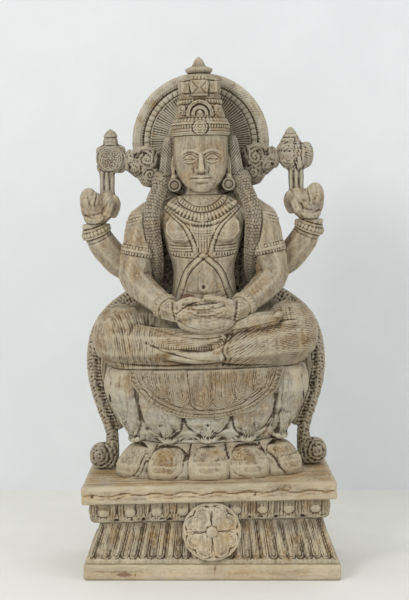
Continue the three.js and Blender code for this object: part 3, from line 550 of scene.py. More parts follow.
def carve_cloth(s):
    x, drop = s.x, -s.z
    uneven = 1.4 * drift(s.at, 17.0, 27)
    pleats = [
        (-112, 17, 18), (-87, 17, 32), (-53, 20, 44), (-12, 21, 49),
        (31, 21, 46), (69, 18, 36), (100, 16, 20),
    ]
    inner = np.hypot(x / 137, drop / 87)
    for at, half, foot in pleats:
        lean_out = 0.12 * at * np.clip(drop, 0, 60) / 60
        off = x - at + lean_out + uneven
        tongue = np.hypot(off, np.maximum(drop - foot, 0))
        here = s.front * (tongue < half + 0.5)
        s.rise += 1.8 * np.sqrt(np.clip(1 - (tongue / half) ** 2, 0, 1)) * here
        lines = half - np.arange(0.0, half - 2, 3.5)
        for i, ring in enumerate(lines):
            worn = 0.55 + 0.6 * drift(s.at, 13.0, 44 + i)
            s.rise -= (1.6 if i == 0 else 1.15) * worn * bell(tongue - ring, 1.0) * here
    outer = s.front * (inner < 0.9)
    below = outer.copy()
    for at, half, foot in pleats:
        off = x - at + 0.12 * at * np.clip(drop, 0, 60) / 60
        below = below * (np.hypot(off, np.maximum(drop - foot, 0)) > half)
    s.strokes(inner * 100 + 2 * uneven, 3.8, 0.9, below, 1.6, 29)
    s.stipple(5.0, 0.9, outer * (0.25 + 0.6 * ramp(np.abs(x), 70, 95)), 31)
    for ring, deep in ((0.9, 1.5), (0.82, 0.9)):
        s.rise -= deep * np.exp(-(((inner - ring) * 100 / 1.5) ** 2)) * s.front
    rim = between(inner, 0.91, 1.2, 0.01) * s.front
    s.rise -= 3.8 * ramp(inner, 0.9, 1.02) * s.front
    turn = np.arctan2(drop, x)
    s.rise += 0.6 * np.cos(turn * 96 + 5 * drift(s.at, 12.0, 31)) * rim
    s.rise -= 1.4 * np.exp(-((np.hypot((x - 5) / 5, (drop - 70) / 2.2)) ** 2)) * s.front
    s.tooled(0.5)
    s.cut()
    return dict(dark=0.4, wash=0.15)


FRAME_LINE = [
    (92, 56, 150), (121, 56, 133), (148, 56, 116), (176, 56, 94), (197, 56, 62), (207, 56, 20),
    (205, 56, -34), (192, 56, -80), (176, 57, -128), (178, 58, -170),
]


def carve_side_frame(s, side):
    along, turn, away = s.limb(FRAME_LINE, side)
    x = s.x * side
    band = (away < 19) & (s.z > -148)
    rib = ramp(away, 17.5, 20) * (s.z > -125)
    s.stipple(6.5, 1.7, 0.9 * band * np.ones(s.count), 41)
    chevron = along + 9 * np.abs(np.sin(turn))
    s.strokes(chevron, 6.4, 0.8, band * 1.0, 1.2, 43)
    s.rise -= 1.6 * bell(away - 17.5, 1.4) * s.front
    s.strokes(x + 0.15 * s.z, 6.0, 0.7, rib * s.front, 0.8, 45)
    foot = (s.z < -146) * 1.0
    s.stipple(6.0, 1.9, foot, 47)
    swirl = np.hypot(x - 200, s.z + 168)
    s.rise += 0.8 * np.cos(swirl * 2 * np.pi / 7.5) * foot * s.front
    s.tooled(0.35)
    s.cut()
    return dict(dark=0.15 + 0.3 * rib + 0.2 * (s.z < -150), wash=0.15)


# ---------------------------------------------------------------- figure
def carve_legs(s):
    x, z = s.x, s.z
    face = s.front
    left = ramp(-x, 58, 78) * face
    right = ramp(x, 34, 42) * face
    # long folds over the left knee, turning outwards at the top
    fan = x + 0.0035 * (z - 20) * np.abs(z - 20) * np.clip(-(x + 100) / 60, -1, 1)
    folds = left * (z < 100) * (0.35 + 0.65 * between(x, -165, -90, 8))
    s.strokes(fan, 11.0, 0.75, folds, 6.0, 51)
    s.strokes(fan, 3.9, 0.75, folds, 2.2, 53)
    # slanting strokes on the right leg, long level ones on its knee
    slant = z * 0.8 - x * 0.52
    near = right * (0.3 + 0.7 * (1 - ramp(x, 70, 130)))
    s.strokes(slant, 6.4, 0.5, near * (z < 74), 4.0, 55)
    s.strokes(z + 0.16 * x, 4.0, 0.6, right * ramp(x, 80, 120), 3.0, 56)
    s.strokes(slant, 3.7, 0.7, near, 1.8, 57)
    crown = (1 - left) * (1 - right) * face * between(z, 36, 80, 3)
    s.strokes(z - 0.05 * x, 3.9, 0.65, crown, 2.0, 59)
    # hems and the edges of the crossed shins
    for path, deep in (
        ([(-104, 50), (-79, 41), (-44, 37), (-10, 34), (16, 38), (40, 52)], 1.5),
        ([(-96, 45), (-70, 34), (-45, 26), (-10, 17), (28, 13)], 1.6),
        ([(-96, 76), (-70, 68), (-35, 59), (-1, 55), (29, 59), (47, 68)], 1.3),
        ([(39, 60), (32, 46), (29, 32), (34, 20), (29, 6)], 1.4),
        ([(48, 62), (41, 46), (38, 32), (43, 20), (39, 6)], 1.0),
        ([(47, 68), (80, 72), (120, 80), (160, 84)], 1.5),
        ([(-190, 20), (-150, 11), (-80, 7), (-10, 10)], 1.6),
        ([(30, 8), (94, 4), (163, -1), (190, 8)], 1.6),
    ):
        s.groove(path, 2.1, deep)
    s.beads([(43, 60), (36, 46), (33, 32), (38, 20), (34, 6)], 4.6, 0.8)
    s.ridge([(-100, 47), (-74, 37.5), (-45, 31), (-10, 26), (26, 26)], 3.0, 0.8)
    hem = s.follow([(-104, 53), (-79, 44.5), (-44, 41), (-10, 38), (16, 42), (38, 56)])
    s.rise += 0.7 * np.cos(2 * np.pi * hem[1] / 4.4) * (hem[0] < 2.6) * face
    # toes of the upper foot
    for at in (134, 142, 149):
        s.groove([(at, 104), (at + 1, 92), (at + 3, 84)], 1.4, 0.9)
    back = np.clip(s.normal[:, 1], 0, 1)
    s.strokes(x, 9.0, 0.4, back, 3.0, 61)
    s.tooled(0.4)
    s.cut()
    wedge = s.front * between(s.z, 14, 32, 2) * between(s.x, -60, 30, 6)
    brown = 0.16 * ramp(drift(s.at, 24.0, 63), 0.1, 0.6)
    return dict(wash=0.15 + 0.6 * wedge, dark=0.12 + 0.3 * ramp(s.z, 88, 112), stain=brown)


def carve_torso(s):
    x, z = s.x, s.z
    first = [
        (-44, 312), (-39, 298), (-28, 288), (-14, 281), (0, 279),
        (14, 281), (28, 288), (39, 298), (44, 312),
    ]
    second = [
        (-66, 286), (-48, 272), (-32, 262), (-16, 256), (0, 254),
        (16, 256), (32, 262), (48, 272), (66, 286),
    ]
    s.ridge(first, 3.4, 1.4)
    s.teeth(first, 5.2, 3.0, 1.3)
    s.groove([(a * 0.9, b + 5) for a, b in first], 1.2, 1.3)
    s.groove([(a * 1.07, b - 5) for a, b in first], 1.2, 1.2)
    s.ridge(second, 3.2, 1.3)
    s.beads(second, 5.6, 1.5)
    s.groove([(a, b - 5.5) for a, b in second], 1.3, 1.5)
    turn = np.arctan2(x, 330 - z)
    yoke = s.front * between(np.hypot(x * 0.93, (z - 325)), 53, 66, 1)
    s.rise += 0.9 * np.cos(turn * 62) * yoke
    s.strokes(z + 0.012 * x**2, 4.4, 0.5, s.front * between(z, 262, 300, 3) * (np.abs(x) > 44), 1.0, 71)
    for side in (-1, 1):
        hem = [(68, 284), (57, 274), (44, 262), (32, 250), (24, 236), (17, 218), (14, 204)]
        scarf = [(side * a, b) for a, b in hem]
        s.ridge(scarf, 4.0, 1.6)
        s.beads(scarf, 5.4, 1.6)
        s.groove([(a + side * 5.5, b + 1) for a, b in scarf], 1.3, 1.5)
        s.groove([(a - side * 5.5, b - 1) for a, b in scarf], 1.3, 1.5)
        hem = [(side * a, b) for a, b in [(74, 224), (58, 217), (38, 215), (20, 215)]]
        for down, deep in ((0, 1.4), (5, 1.2), (10, 1.2)):
            s.groove([(a, b - down) for a, b in hem], 1.3, deep)
        s.teeth([(a, b - 15) for a, b in hem], 5.0, 2.6, 1.3)
        s.groove([(side * 70, 203), (side * 44, 196), (side * 18, 193)], 1.3, 1.3)
        ring = np.hypot((x - side * 42) / 1.15, z - 246)
        s.rise -= 0.8 * bell(ring - 17, 1.3) * s.front * (z < 258)
        s.rise -= 0.6 * bell(ring - 21.5, 1.2) * s.front * (z < 255)
        tail = [(side * a, b) for a, b in [(2, 199), (13, 189), (26, 177), (36, 161), (42, 143), (50, 122)]]
        s.ridge([(a - side * 2, b - 1) for a, b in tail], 2.6, 1.6)
        s.groove([(a + side * 3.4, b + 2.6) for a, b in tail], 1.3, 1.6)
        s.groove([(a - side * 6.5, b - 3.5) for a, b in tail], 1.3, 1.5)
    s.strokes(x, 5.0, 0.8, s.front * (np.abs(x) < 11) * between(z, 204, 250, 3), 0.6, 73)
    s.strokes(np.hypot(x, z - 330), 4.8, 0.45, s.front * (np.abs(x) < 26) * between(z, 222, 252, 3), 0.8, 75)
    s.groove([(-9, 196), (0, 190), (9, 196)], 2.0, 1.6)
    s.rise -= 3.8 * np.exp(-((np.hypot(x + 1, z - 142) / 2.6) ** 2)) * s.front
    s.rise += 0.8 * np.exp(-(((np.hypot(x + 1, z - 142) - 6) / 2.2) ** 2)) * s.front
    for at in (132, 122):
        s.groove([(-42, at + 6), (-20, at), (0, at - 2), (20, at), (42, at + 6)], 1.3, 0.8)
    s.tooled(0.3)
    s.cut()
    mark = s.front * np.exp(-(((s.x + 30) / 14) ** 2) - (((s.z - 126) / 5.5) ** 2))
    # Painted shade down the sides of the torso, where the arms pass close to it.
    painted_arm_shade = ramp(np.abs(s.x), 60, 74) * (s.z < 230) * (s.z > 110)
    return dict(stain=0.8 * mark, wash=0.15 + 0.25 * between(s.z, 204, 262, 6), dark=0.5 * painted_arm_shade)


def carve_head(s):
    x, z = s.x, s.z
    for side in (-1, 1):
        at = lambda *pairs: [(side * a, b) for a, b in pairs]
        s.ridge(at((5, 378), (13, 382.5), (22, 383.5), (31, 380), (37, 374)), 2.2, 1.3)
        s.groove(at((6, 375), (14, 378.5), (22, 379), (30, 376)), 1.6, 0.8)
        s.ridge(at((9.5, 367.5), (14, 372), (20, 373.8), (26, 372), (31, 367.5)), 1.1, 1.1)
        s.groove(at((9, 369.5), (14, 374), (20, 375.9), (26, 374), (32, 369)), 1.0, 1.2)
        s.groove(at((10, 366), (15, 367.2), (20, 367.5), (26, 366.8), (31, 366.5)), 0.9, 1.2)
        s.ridge(at((10, 365), (15, 362.6), (20, 361.8), (26, 362.8), (30, 365.2)), 1.0, 0.7)
        s.groove(at((11, 361.5), (16, 359.3), (22, 359), (28, 361)), 1.3, 0.7)
        s.groove(at((13.5, 352), (14.5, 348.5), (12.5, 344.5)), 1.3, 1.3)
        s.rise -= 1.6 * np.exp(-((np.hypot(x - side * 5.4, z - 343.8) / 1.7) ** 2)) * s.front
        s.groove(at((14, 343), (18.5, 337.5), (20.5, 332)), 2.4, 0.6)
        s.rise -= 0.9 * np.exp(-((np.hypot(x - side * 18, z - 333.5) / 2.0) ** 2)) * s.front
        s.groove(at((1.6, 345), (2.2, 340)), 1.1, 0.5, smooth=False)
    lips = [(-17, 334.2), (-9, 333.6), (0, 332.8), (9, 333.6), (17, 334.2)]
    s.groove(lips, 0.95, 1.9)
    s.ridge([(-12, 336), (-4, 337.8), (0, 337), (4, 337.8), (12, 336)], 1.8, 1.1)
    s.ridge([(-10, 330.6), (0, 329), (10, 330.6)], 2.4, 1.3)
    s.groove([(-9, 325), (0, 323.8), (9, 325)], 2.2, 1.1)
    s.rise += 0.9 * np.exp(-((np.hypot(x, z - 391) / 2.6) ** 2)) * s.front
    for line in (300, 295):
        s.groove([(-30, line + 9), (-12, line + 3), (0, line + 2), (12, line + 3), (30, line + 9)], 1.3, 0.5)
    ear = s.front * between(np.abs(x), 46, 60, 1) * between(z, 334, 378, 2)
    s.strokes(np.abs(x), 4.0, 0.9, ear, 0.4, 81)
    hair = ramp(s.y, 8, 16)
    s.strokes(x + 0.3 * z * np.sign(x), 6.0, 0.9, hair, 2.0, 83)
    s.tooled(0.14)
    s.cut()
    return dict(wash=0.12, dark=0.5 * hair)


def carve_crown(s):
    x, z = s.x, s.z
    turn = np.arctan2(x, -(s.y + 3))
    wall = np.clip(1.5 - 1.5 * np.abs(s.normal[:, 2]), 0, 1)

    def hoop(at, wide, deep):
        s.rise -= deep * np.exp(-(((z - at) / wide) ** 2)) * wall

    for at, wide, deep in (
        (412.2, 0.9, 1.5), (416.6, 0.8, 1.3), (421.5, 0.8, 1.0), (427.5, 0.9, 1.4), (433.5, 1.0, 1.5),
        (440.5, 0.9, 1.1), (464.5, 1.1, 1.5), (473.5, 1.2, 1.9), (483.0, 0.9, 1.1), (506.5, 1.1, 1.6),
        (512.5, 0.9, 1.1), (519.5, 1.2, 1.6), (530.5, 1.1, 1.8),
    ):
        hoop(at, wide, deep)
    for low, high, count in ((422, 427, 58), (434, 440, 44), (466, 473, 40), (507, 512, 44)):
        s.rise += 1.1 * np.cos(count * turn) * between(z, low, high, 0.8) * wall
    jewel = np.hypot(x / 14.5, (z - 422) / 13.5)
    for ring, deep in ((1.0, 1.6), (0.72, 1.2), (0.42, 1.0)):
        s.rise -= deep * np.exp(-(((jewel - ring) * 14 / 1.1) ** 2)) * s.front
    s.rise += 0.5 * np.cos(6 * np.arctan2(z - 422, x)) * (jewel < 0.9) * s.front
    arch = np.hypot(x, (z - 446) / 1.05)
    for r in (26, 21.5, 16.5, 12, 7.5):
        s.rise -= 1.4 * bell(arch - r, 1.1) * s.front * between(z, 442, 474, 1)
    for side in (-1, 1):
        flower = np.hypot(x - side * 29, z - 452)
        s.rise -= 1.2 * bell(flower - 8, 1.1) * s.front
        s.rise += 0.9 * np.cos(6 * np.arctan2(z - 452, x - side * 29)) * (flower < 7) * s.front
        stud = np.maximum(np.abs(x - side * 25) / 7.5, np.abs(z - 494) / 10)
        s.rise += 1.3 * (1 - ramp(stud, 0.82, 1.0)) * s.front
        s.rise -= 1.5 * np.exp(-(((stud - 1.12) * 8 / 1.1) ** 2)) * s.front
        s.groove([(side * 12, 503), (side * 3, 492), (side * 12, 481)], 1.8, 1.2, smooth=False)
        s.groove([(side * 17, 478), (side * 15, 506)], 1.2, 1.5, smooth=False)
    s.stipple(4.5, 0.8, wall * (0.25 + 0.5 * between(z, 442, 472, 2)) * (arch > 27), 90)
    s.strokes(turn * 20, 4.5, 1.0, between(z, 484, 506, 1) * wall * (s.front < 0.55), 0.6, 91)
    s.strokes(turn * 24, 4.2, 0.7, between(z, 513, 530, 1) * wall, 0.8, 92)
    s.strokes(turn * 14, 5.0, 0.5, between(z, 533, 548, 1) * wall, 0.6, 93)
    s.tooled(0.25)
    s.cut()
    return dict(dark=0.15 + 0.3 * between(s.z, 474, 486, 3), wash=0.3)


def carve_halo(s):
    x, z = s.x, s.z - HALO_Z
    r, turn = np.hypot(x, z), np.arctan2(z, x)
    face = s.front
    spoke = np.cos(turn * 116 + 1.5 * drift(s.at, 16.0, 101))
    spoke_depth = 0.75 + 0.3 * ramp(s.x, 0, 40)
    s.rise += spoke_depth * steep(spoke, 0.6) * face * between(r, 40, 91, 1.5)
    u = turn / (2 * np.pi) * 60
    bead = np.hypot(u % 1 - 0.5, (r - 98) / 13) / 0.47
    s.rise += (2.0 * dome(bead) - 0.7) * face * between(r, 93, 104, 0.8)
    for at, deep in ((92.3, 1.7), (104.6, 1.7), (109.0, 1.1)):
        s.rise -= deep * bell(r - at, 1.1) * face
    s.strokes(turn * 114 + 0.6 * r, 4.6, 0.7, face * (r > 105.5), 1.2, 103)
    s.stipple(5.0, 0.9, 0.5 * face * (r > 90), 104)
    s.strokes(x, 8.0, 0.5, np.clip(s.normal[:, 1], 0, 1), 3.0, 105)
    s.tooled(0.3)
    s.cut()
    # The right side is painted greyer and the left front paler: grey weathering and limewash, with painted
    # shade on the right, away from the lamp, and a painted highlight on the left.
    right = ramp(s.x, 10, 45) * s.front * (r < 104)
    return dict(grey=0.6 * right, wash=0.2 + (0.7 - 0.5 * right) * ramp(s.front, 0, 0.4))


def carve_bracket(s, side):
    x = s.x * side
    scrolls = [(97, 372, 7.2, 19), (121, 352, 6.4, 13), (119, 385, 6.2, 12), (92, 344, 6.8, 15)]
    for cx, cz, pitch, size in scrolls:
        r = np.hypot(x - cx, s.z - cz) + 1.6 * drift(s.at, 11.0, 109)
        turn = np.arctan2(s.z - cz, x - cx)
        wave = np.cos(2 * np.pi * r / pitch + turn)
        s.rise += 1.0 * wave * np.exp(-((r / size) ** 4)) * s.front
    s.groove([(side * 76, 396), (side * 82, 380), (side * 84, 366)], 2.4, 2.6)
    s.groove([(side * 128, 392), (side * 133, 374), (side * 128, 356)], 1.8, 1.6)
    s.stipple(4.6, 0.8, 0.8 * (0.3 + s.front), 111)
    s.strokes(x + 0.4 * s.z, 4.0, 0.4, s.front, 3.0, 110)
    s.tooled(0.7)
    s.cut()
    # The right bracket is painted darker and greyer than the left: weathering, with painted shade on the side
    # away from the lamp.
    return dict(dark=0.12 if side < 0 else 0.3, grey=0.05 if side < 0 else 0.35, wash=0.25)


def carve_discus(s, side):
    x, z = s.x * side - 162, s.z - 374
    block = (np.abs(x) ** 3 + np.abs(z) ** 3) ** (1 / 3)
    disc = s.front * (block < 27)
    # fine curls round several middles, flowing into one another
    flow = block + 2.5 * drift(s.at, 11.0, 112)
    for cx, cz, size in ((-9, 9, 9), (10, 5, 8), (-4, -11, 9), (12, -12, 6)):
        near = np.hypot(x - cx, z - cz)
        flow = np.where(near < size, near + 0.8 * np.arctan2(z - cz, x - cx), flow)
    wave = np.cos(2 * np.pi * flow / 3.9)
    s.rise += 0.55 * steep(wave, 0.7) * disc
    s.rise -= 1.2 * bell(block - 24, 1.2) * disc
    s.stipple(4.0, 0.7, 0.7 * disc, 113)
    shaft = (z < -24) * np.clip(1.3 - np.abs(s.normal[:, 2]), 0, 1)
    s.strokes(x - 8, 9.5, 1.7, shaft, 0.8, 115)
    for at in (24, 30, 38):
        s.rise -= 1.3 * bell(z - at, 1.1)
    s.tooled(0.5)
    s.cut()
    return dict(grey=0.3, wash=0.4)


def carve_conch(s, side):
    x, z = s.x * side, s.z
    body = s.front * between(z, 346, 400, 2)
    r = np.hypot(x - 158, (z - 372) * 0.8) + 1.5 * drift(s.at, 10.0, 118)
    wave = np.cos(2 * np.pi * r / 4.6 + np.arctan2(z - 372, x - 158))
    uneven = 0.6 + 0.8 * drift(s.at, 14.0, 122)
    s.rise += 0.6 * steep(wave, 0.7) * body * (x < 168) * uneven
    s.strokes(x + 0.35 * z, 5.0, 0.8, body * (x > 165) * (x < 181), 1.6, 121)
    s.groove([(side * 170, 402), (side * 166, 372), (side * 171, 346)], 1.8, 1.5)
    s.groove([(side * 181, 398), (side * 179, 372), (side * 183, 350)], 2.0, 2.4)
    s.strokes(z + 0.3 * x, 4.4, 0.9, s.front * (x > 183) * (z > 346), 1.0, 120)
    s.stipple(4.6, 1.2, 0.8 * body, 117)
    for at in (398, 405, 412):
        s.rise -= 1.2 * bell(z - at, 1.1)
    shaft = (z < 346) * np.clip(1.3 - np.abs(s.normal[:, 2]), 0, 1)
    s.strokes(x - 170, 9.5, 1.7, shaft, 0.8, 119)
    s.tooled(0.5)
    s.cut()
    return dict(grey=0.15, wash=0.4)


FRONT_ARM = [
    (74, 4, 276), (102, 0, 258), (114, -4, 212), (123, -8, 162),
    (112, -20, 143), (82, -56, 120), (62, -80, 106),
]


def carve_front_arm(s, side):
    along, turn, _ = s.limb(FRONT_ARM, side)
    upper = (s.z > 170) * 1.0
    off = s.z - 207 - 0.2 * (s.x * side - 114)
    for at in (-9, -3.5, 3.5, 9):
        s.rise -= 1.1 * bell(off - at, 1.0) * upper
    for at, count in ((-6.2, 34), (6.2, 34)):
        s.rise += 1.2 * np.cos(count * turn) * between(off, at - 2.2, at + 2.2, 0.6) * upper
    top = s.z - 268 + 0.25 * (s.x * side - 114)
    ring = between(top, -9, 9, 1.2) * upper * (s.x * side > 86)
    s.rise += 1.4 * ring
    for at in (-6, 0, 6):
        s.rise -= 1.2 * bell(top - at, 1.0) * ring
    s.rise += 0.9 * np.cos(30 * turn) * between(top, -5, -1, 0.6) * ring
    end = curve(FRONT_ARM)
    whole = float(np.sum(np.linalg.norm(np.diff(end, axis=0), axis=1)))
    s.collar(along, turn, whole - 12, 5.0, 22, 1.5)
    s.strokes(s.x + s.z * 0.6, 9.0, 0.2, np.ones(s.count), 5.0, 121)
    s.tooled(0.35)
    s.cut()
    return dict(wash=0.25, dark=0.1)


REAR_ARM = [
    (84, 40, 252), (104, 44, 214), (124, 44, 184), (142, 42, 178),
    (166, 37, 200), (184, 31, 224), (194, 25, 247), (199, 22, 262),
]


def carve_rear_arm(s, side):
    along, turn, _ = s.limb(REAR_ARM, side)
    whole = float(np.sum(np.linalg.norm(np.diff(curve(REAR_ARM), axis=0), axis=1)))
    s.collar(along, turn, whole - 17, 6.0, 22, 1.8)
    s.rise -= 1.1 * bell(along - whole + 33, 1.2)
    s.strokes(along * 0.4 + turn * 22, 10.0, 0.2, np.ones(s.count), 5.0, 125)
    s.tooled(0.35)
    s.cut()
    return dict(wash=0.2, dark=0.05)


def carve_rear_hand(s, side):
    x = s.x * side
    for path, deep in (
        ([(203, 322), (204, 306), (201, 292)], 1.0),
        ([(187, 322), (188, 304), (192, 290)], 2.2),
        ([(178, 272), (194, 268), (210, 274)], 0.9),
    ):
        s.groove([(side * a, b) for a, b in path], 1.8, deep)
    s.groove([(side * 204, 305), (side * 212, 305)], 1.0, 0.7, smooth=False)
    s.groove([(side * 189, 303), (side * 197, 303)], 1.0, 0.7, smooth=False)
    s.strokes(x + 0.5 * s.z, 8.0, 0.2, np.ones(s.count), 4.0, 127)
    s.tooled(0.3)
    s.cut()
    return dict(wash=0.15, dark=0.1)


def carve_hands(s):
    for path, wide, deep in (
        ([(34, 113), (14, 108), (-6, 106), (-20, 108)], 1.5, 1.6),
        ([(30, 101), (10, 96), (-10, 96), (-22, 99)], 1.5, 1.2),
        ([(24, 90), (6, 86), (-12, 87)], 1.5, 0.8),
        ([(-50, 100), (-34, 112), (-10, 120), (4, 120), (8, 114)], 1.6, 1.6),
        ([(40, 124), (22, 131), (2, 130), (-6, 124)], 1.6, 1.4),
        ([(-46, 88), (-26, 76), (0, 70), (26, 74)], 1.8, 1.1),
    ):
        s.groove(path, wide, deep)
    s.rise -= 3.0 * np.exp(-((np.hypot((s.x - 14) / 1.6, s.z - 111) / 3.0) ** 2)) * s.front
    for side in (-1, 1):
        cuffs = [(side * 61, 126), (side * 60, 106), (side * 56, 86)]
        s.ridge(cuffs, 3.5, 1.4)
        s.beads([(a - side * 1.0, b) for a, b in cuffs], 5.0, 1.4)
        s.groove([(a - side * 5.5, b) for a, b in cuffs], 1.3, 1.2)
    s.strokes(s.x * 0.3 + s.z, 7.0, 0.25, np.ones(s.count), 3.0, 129)
    s.stipple(4.5, 0.9, 0.6 * s.front * between(s.z, 92, 122, 6) * (np.abs(s.x) < 40), 130)
    s.tooled(0.4)
    s.cut()
    return dict(wash=0.15 + 0.35 * (1 - ramp(s.z, 78, 96)), dark=0.1)


ROPE = [
    (58, 0, 404), (62, 0, 372), (66, 2, 340), (77, -12, 312), (90, -30, 276),
    (89, -26, 240), (86, -12, 204), (86, 6, 172), (88, 18, 152),
]


def carve_rope(s, side):
    along, turn, _ = s.limb(ROPE, side)
    hair = (s.z > 340) * 1.0
    s.strokes(along * 0.8 + side * s.x * 0.9, 5.0, 1.2, hair, 0.6, 131)
    s.scales(along + 1.5 * drift(s.at, 12.0, 135), turn, 15, 5.4, 0.8, 1 - hair)
    s.stipple(4.2, 1.0, 0.7 * (1 - hair), 133)
    s.rise -= 1.2 * bell(s.z - 340, 1.5)
    s.tooled(0.4)
    s.cut()
    low = 1 - ramp(s.z, 170, 250)
    return dict(dark=0.38 + 0.35 * low, grey=0.1 + (0.3 if side > 0 else 0.1) * hair, wash=0.1 + 0.35 * hair)


def carve_earring(s, side):
    r = np.hypot(s.x * side - 48, s.z - 323)
    s.rise += 0.9 * np.cos(2 * np.pi * r / 4.8) * s.front
    s.tooled(0.1)
    s.cut()
    return dict(grey=0.4, dark=0.25)


def carve_back(s):
    s.strokes(s.x, 11.0, 0.6, np.clip(s.normal[:, 1], 0, 1), 5.0, 141)
    s.stipple(6.0, 1.6, s.front, 143)
    s.tooled(0.4)
    s.cut()
    # The front of the back panel, behind the figure, is painted darker: painted shade.
    return dict(dark=0.5 * ramp(s.front, 0.1, 0.5))


# ---------------------------------------------------------------- wood
def tone(r, g, b):
    """A colour given as screen numbers, as the light it stands for."""
    flat = [c / 255 for c in (r, g, b)]
    return (*[c / 12.92 if c <= 0.04045 else ((c + 0.055) / 1.055) ** 2.4 for c in flat], 1.0)


class Sheet:
    """Nodes of one material or group, with links made by name."""

    def __init__(self, tree):
        self.tree = tree

    def node(self, kind, values=(), **settings):
        n = self.tree.nodes.new(kind)
        for key, value in settings.items():
            setattr(n, key, value)
        for key, value in dict(values).items():
            if isinstance(value, bpy.types.NodeSocket):
                self.tree.links.new(value, n.inputs[key])
            else:
                n.inputs[key].default_value = value
        return n

    def noise(self, at, scale, detail=3.0, rough=0.55):
        sockets = {"Vector": at, "Scale": scale, "Detail": detail, "Roughness": rough}
        n = self.node("ShaderNodeTexNoise", sockets)
        return n.outputs["Fac"]

    def math(self, how, a, b=0.0, clamp=False):
        return self.node("ShaderNodeMath", {0: a, 1: b}, operation=how, use_clamp=clamp).outputs[0]

    def step(self, value, low, high, to_low=0.0, to_high=1.0):
        values = {"Value": value, "From Min": low, "From Max": high, "To Min": to_low, "To Max": to_high}
        return self.node("ShaderNodeMapRange", values, interpolation_type="SMOOTHSTEP").outputs["Result"]

    def mix(self, factor, a, b, how="MIX"):
        n = self.tree.nodes.new("ShaderNodeMix")
        n.data_type, n.blend_type = "RGBA", how
        for i, value in ((0, factor), (6, a), (7, b)):
            if isinstance(value, bpy.types.NodeSocket):
                self.tree.links.new(value, n.inputs[i])
            else:
                n.inputs[i].default_value = value
        return n.outputs[2]


def group(name, inputs, outputs):
    tree = bpy.data.node_groups.new(name, "ShaderNodeTree")
    for label, kind, default in inputs:
        made = tree.interface.new_socket(label, in_out="INPUT", socket_type="NodeSocket" + kind)
        if default is not None:
            made.default_value = default
    for label, kind in outputs:
        tree.interface.new_socket(label, in_out="OUTPUT", socket_type="NodeSocket" + kind)
    sheet = Sheet(tree)
    return tree, sheet, tree.nodes.new("NodeGroupInput").outputs, tree.nodes.new("NodeGroupOutput").inputs


def grain_group():
    """Streaks along the timber, slow drifts of tone, open pores and the height of them all."""
    inputs = [("Place", "Vector", None), ("Stretch", "Vector", (1.0, 1.0, 0.09))]
    outputs = [("Streak", "Float"), ("Drift", "Float"), ("Pores", "Float"), ("Height", "Float")]
    tree, t, into, out = group("timber_grain", inputs, outputs)
    factors = {0: into["Place"], 1: into["Stretch"]}
    drawn = t.node("ShaderNodeVectorMath", factors, operation="MULTIPLY").outputs[0]
    streak = t.noise(drawn, 260.0, 5.0, 0.62)
    broad = t.noise(drawn, 70.0, 3.0, 0.5)
    both = t.math("ADD", t.math("MULTIPLY", streak, 0.55), t.math("MULTIPLY", broad, 0.45))
    tree.links.new(both, out["Streak"])
    tree.links.new(t.noise(into["Place"], 19.0, 4.0, 0.62), out["Drift"])
    fine = t.noise(drawn, 900.0, 2.0, 0.6)
    pores = t.step(fine, 0.6, 0.72)
    tree.links.new(pores, out["Pores"])
    raised = t.math("ADD", both, t.math("MULTIPLY", fine, 0.4))
    height = t.math("SUBTRACT", raised, t.math("MULTIPLY", pores, 0.35))
    tree.links.new(height, out["Height"])
    return tree


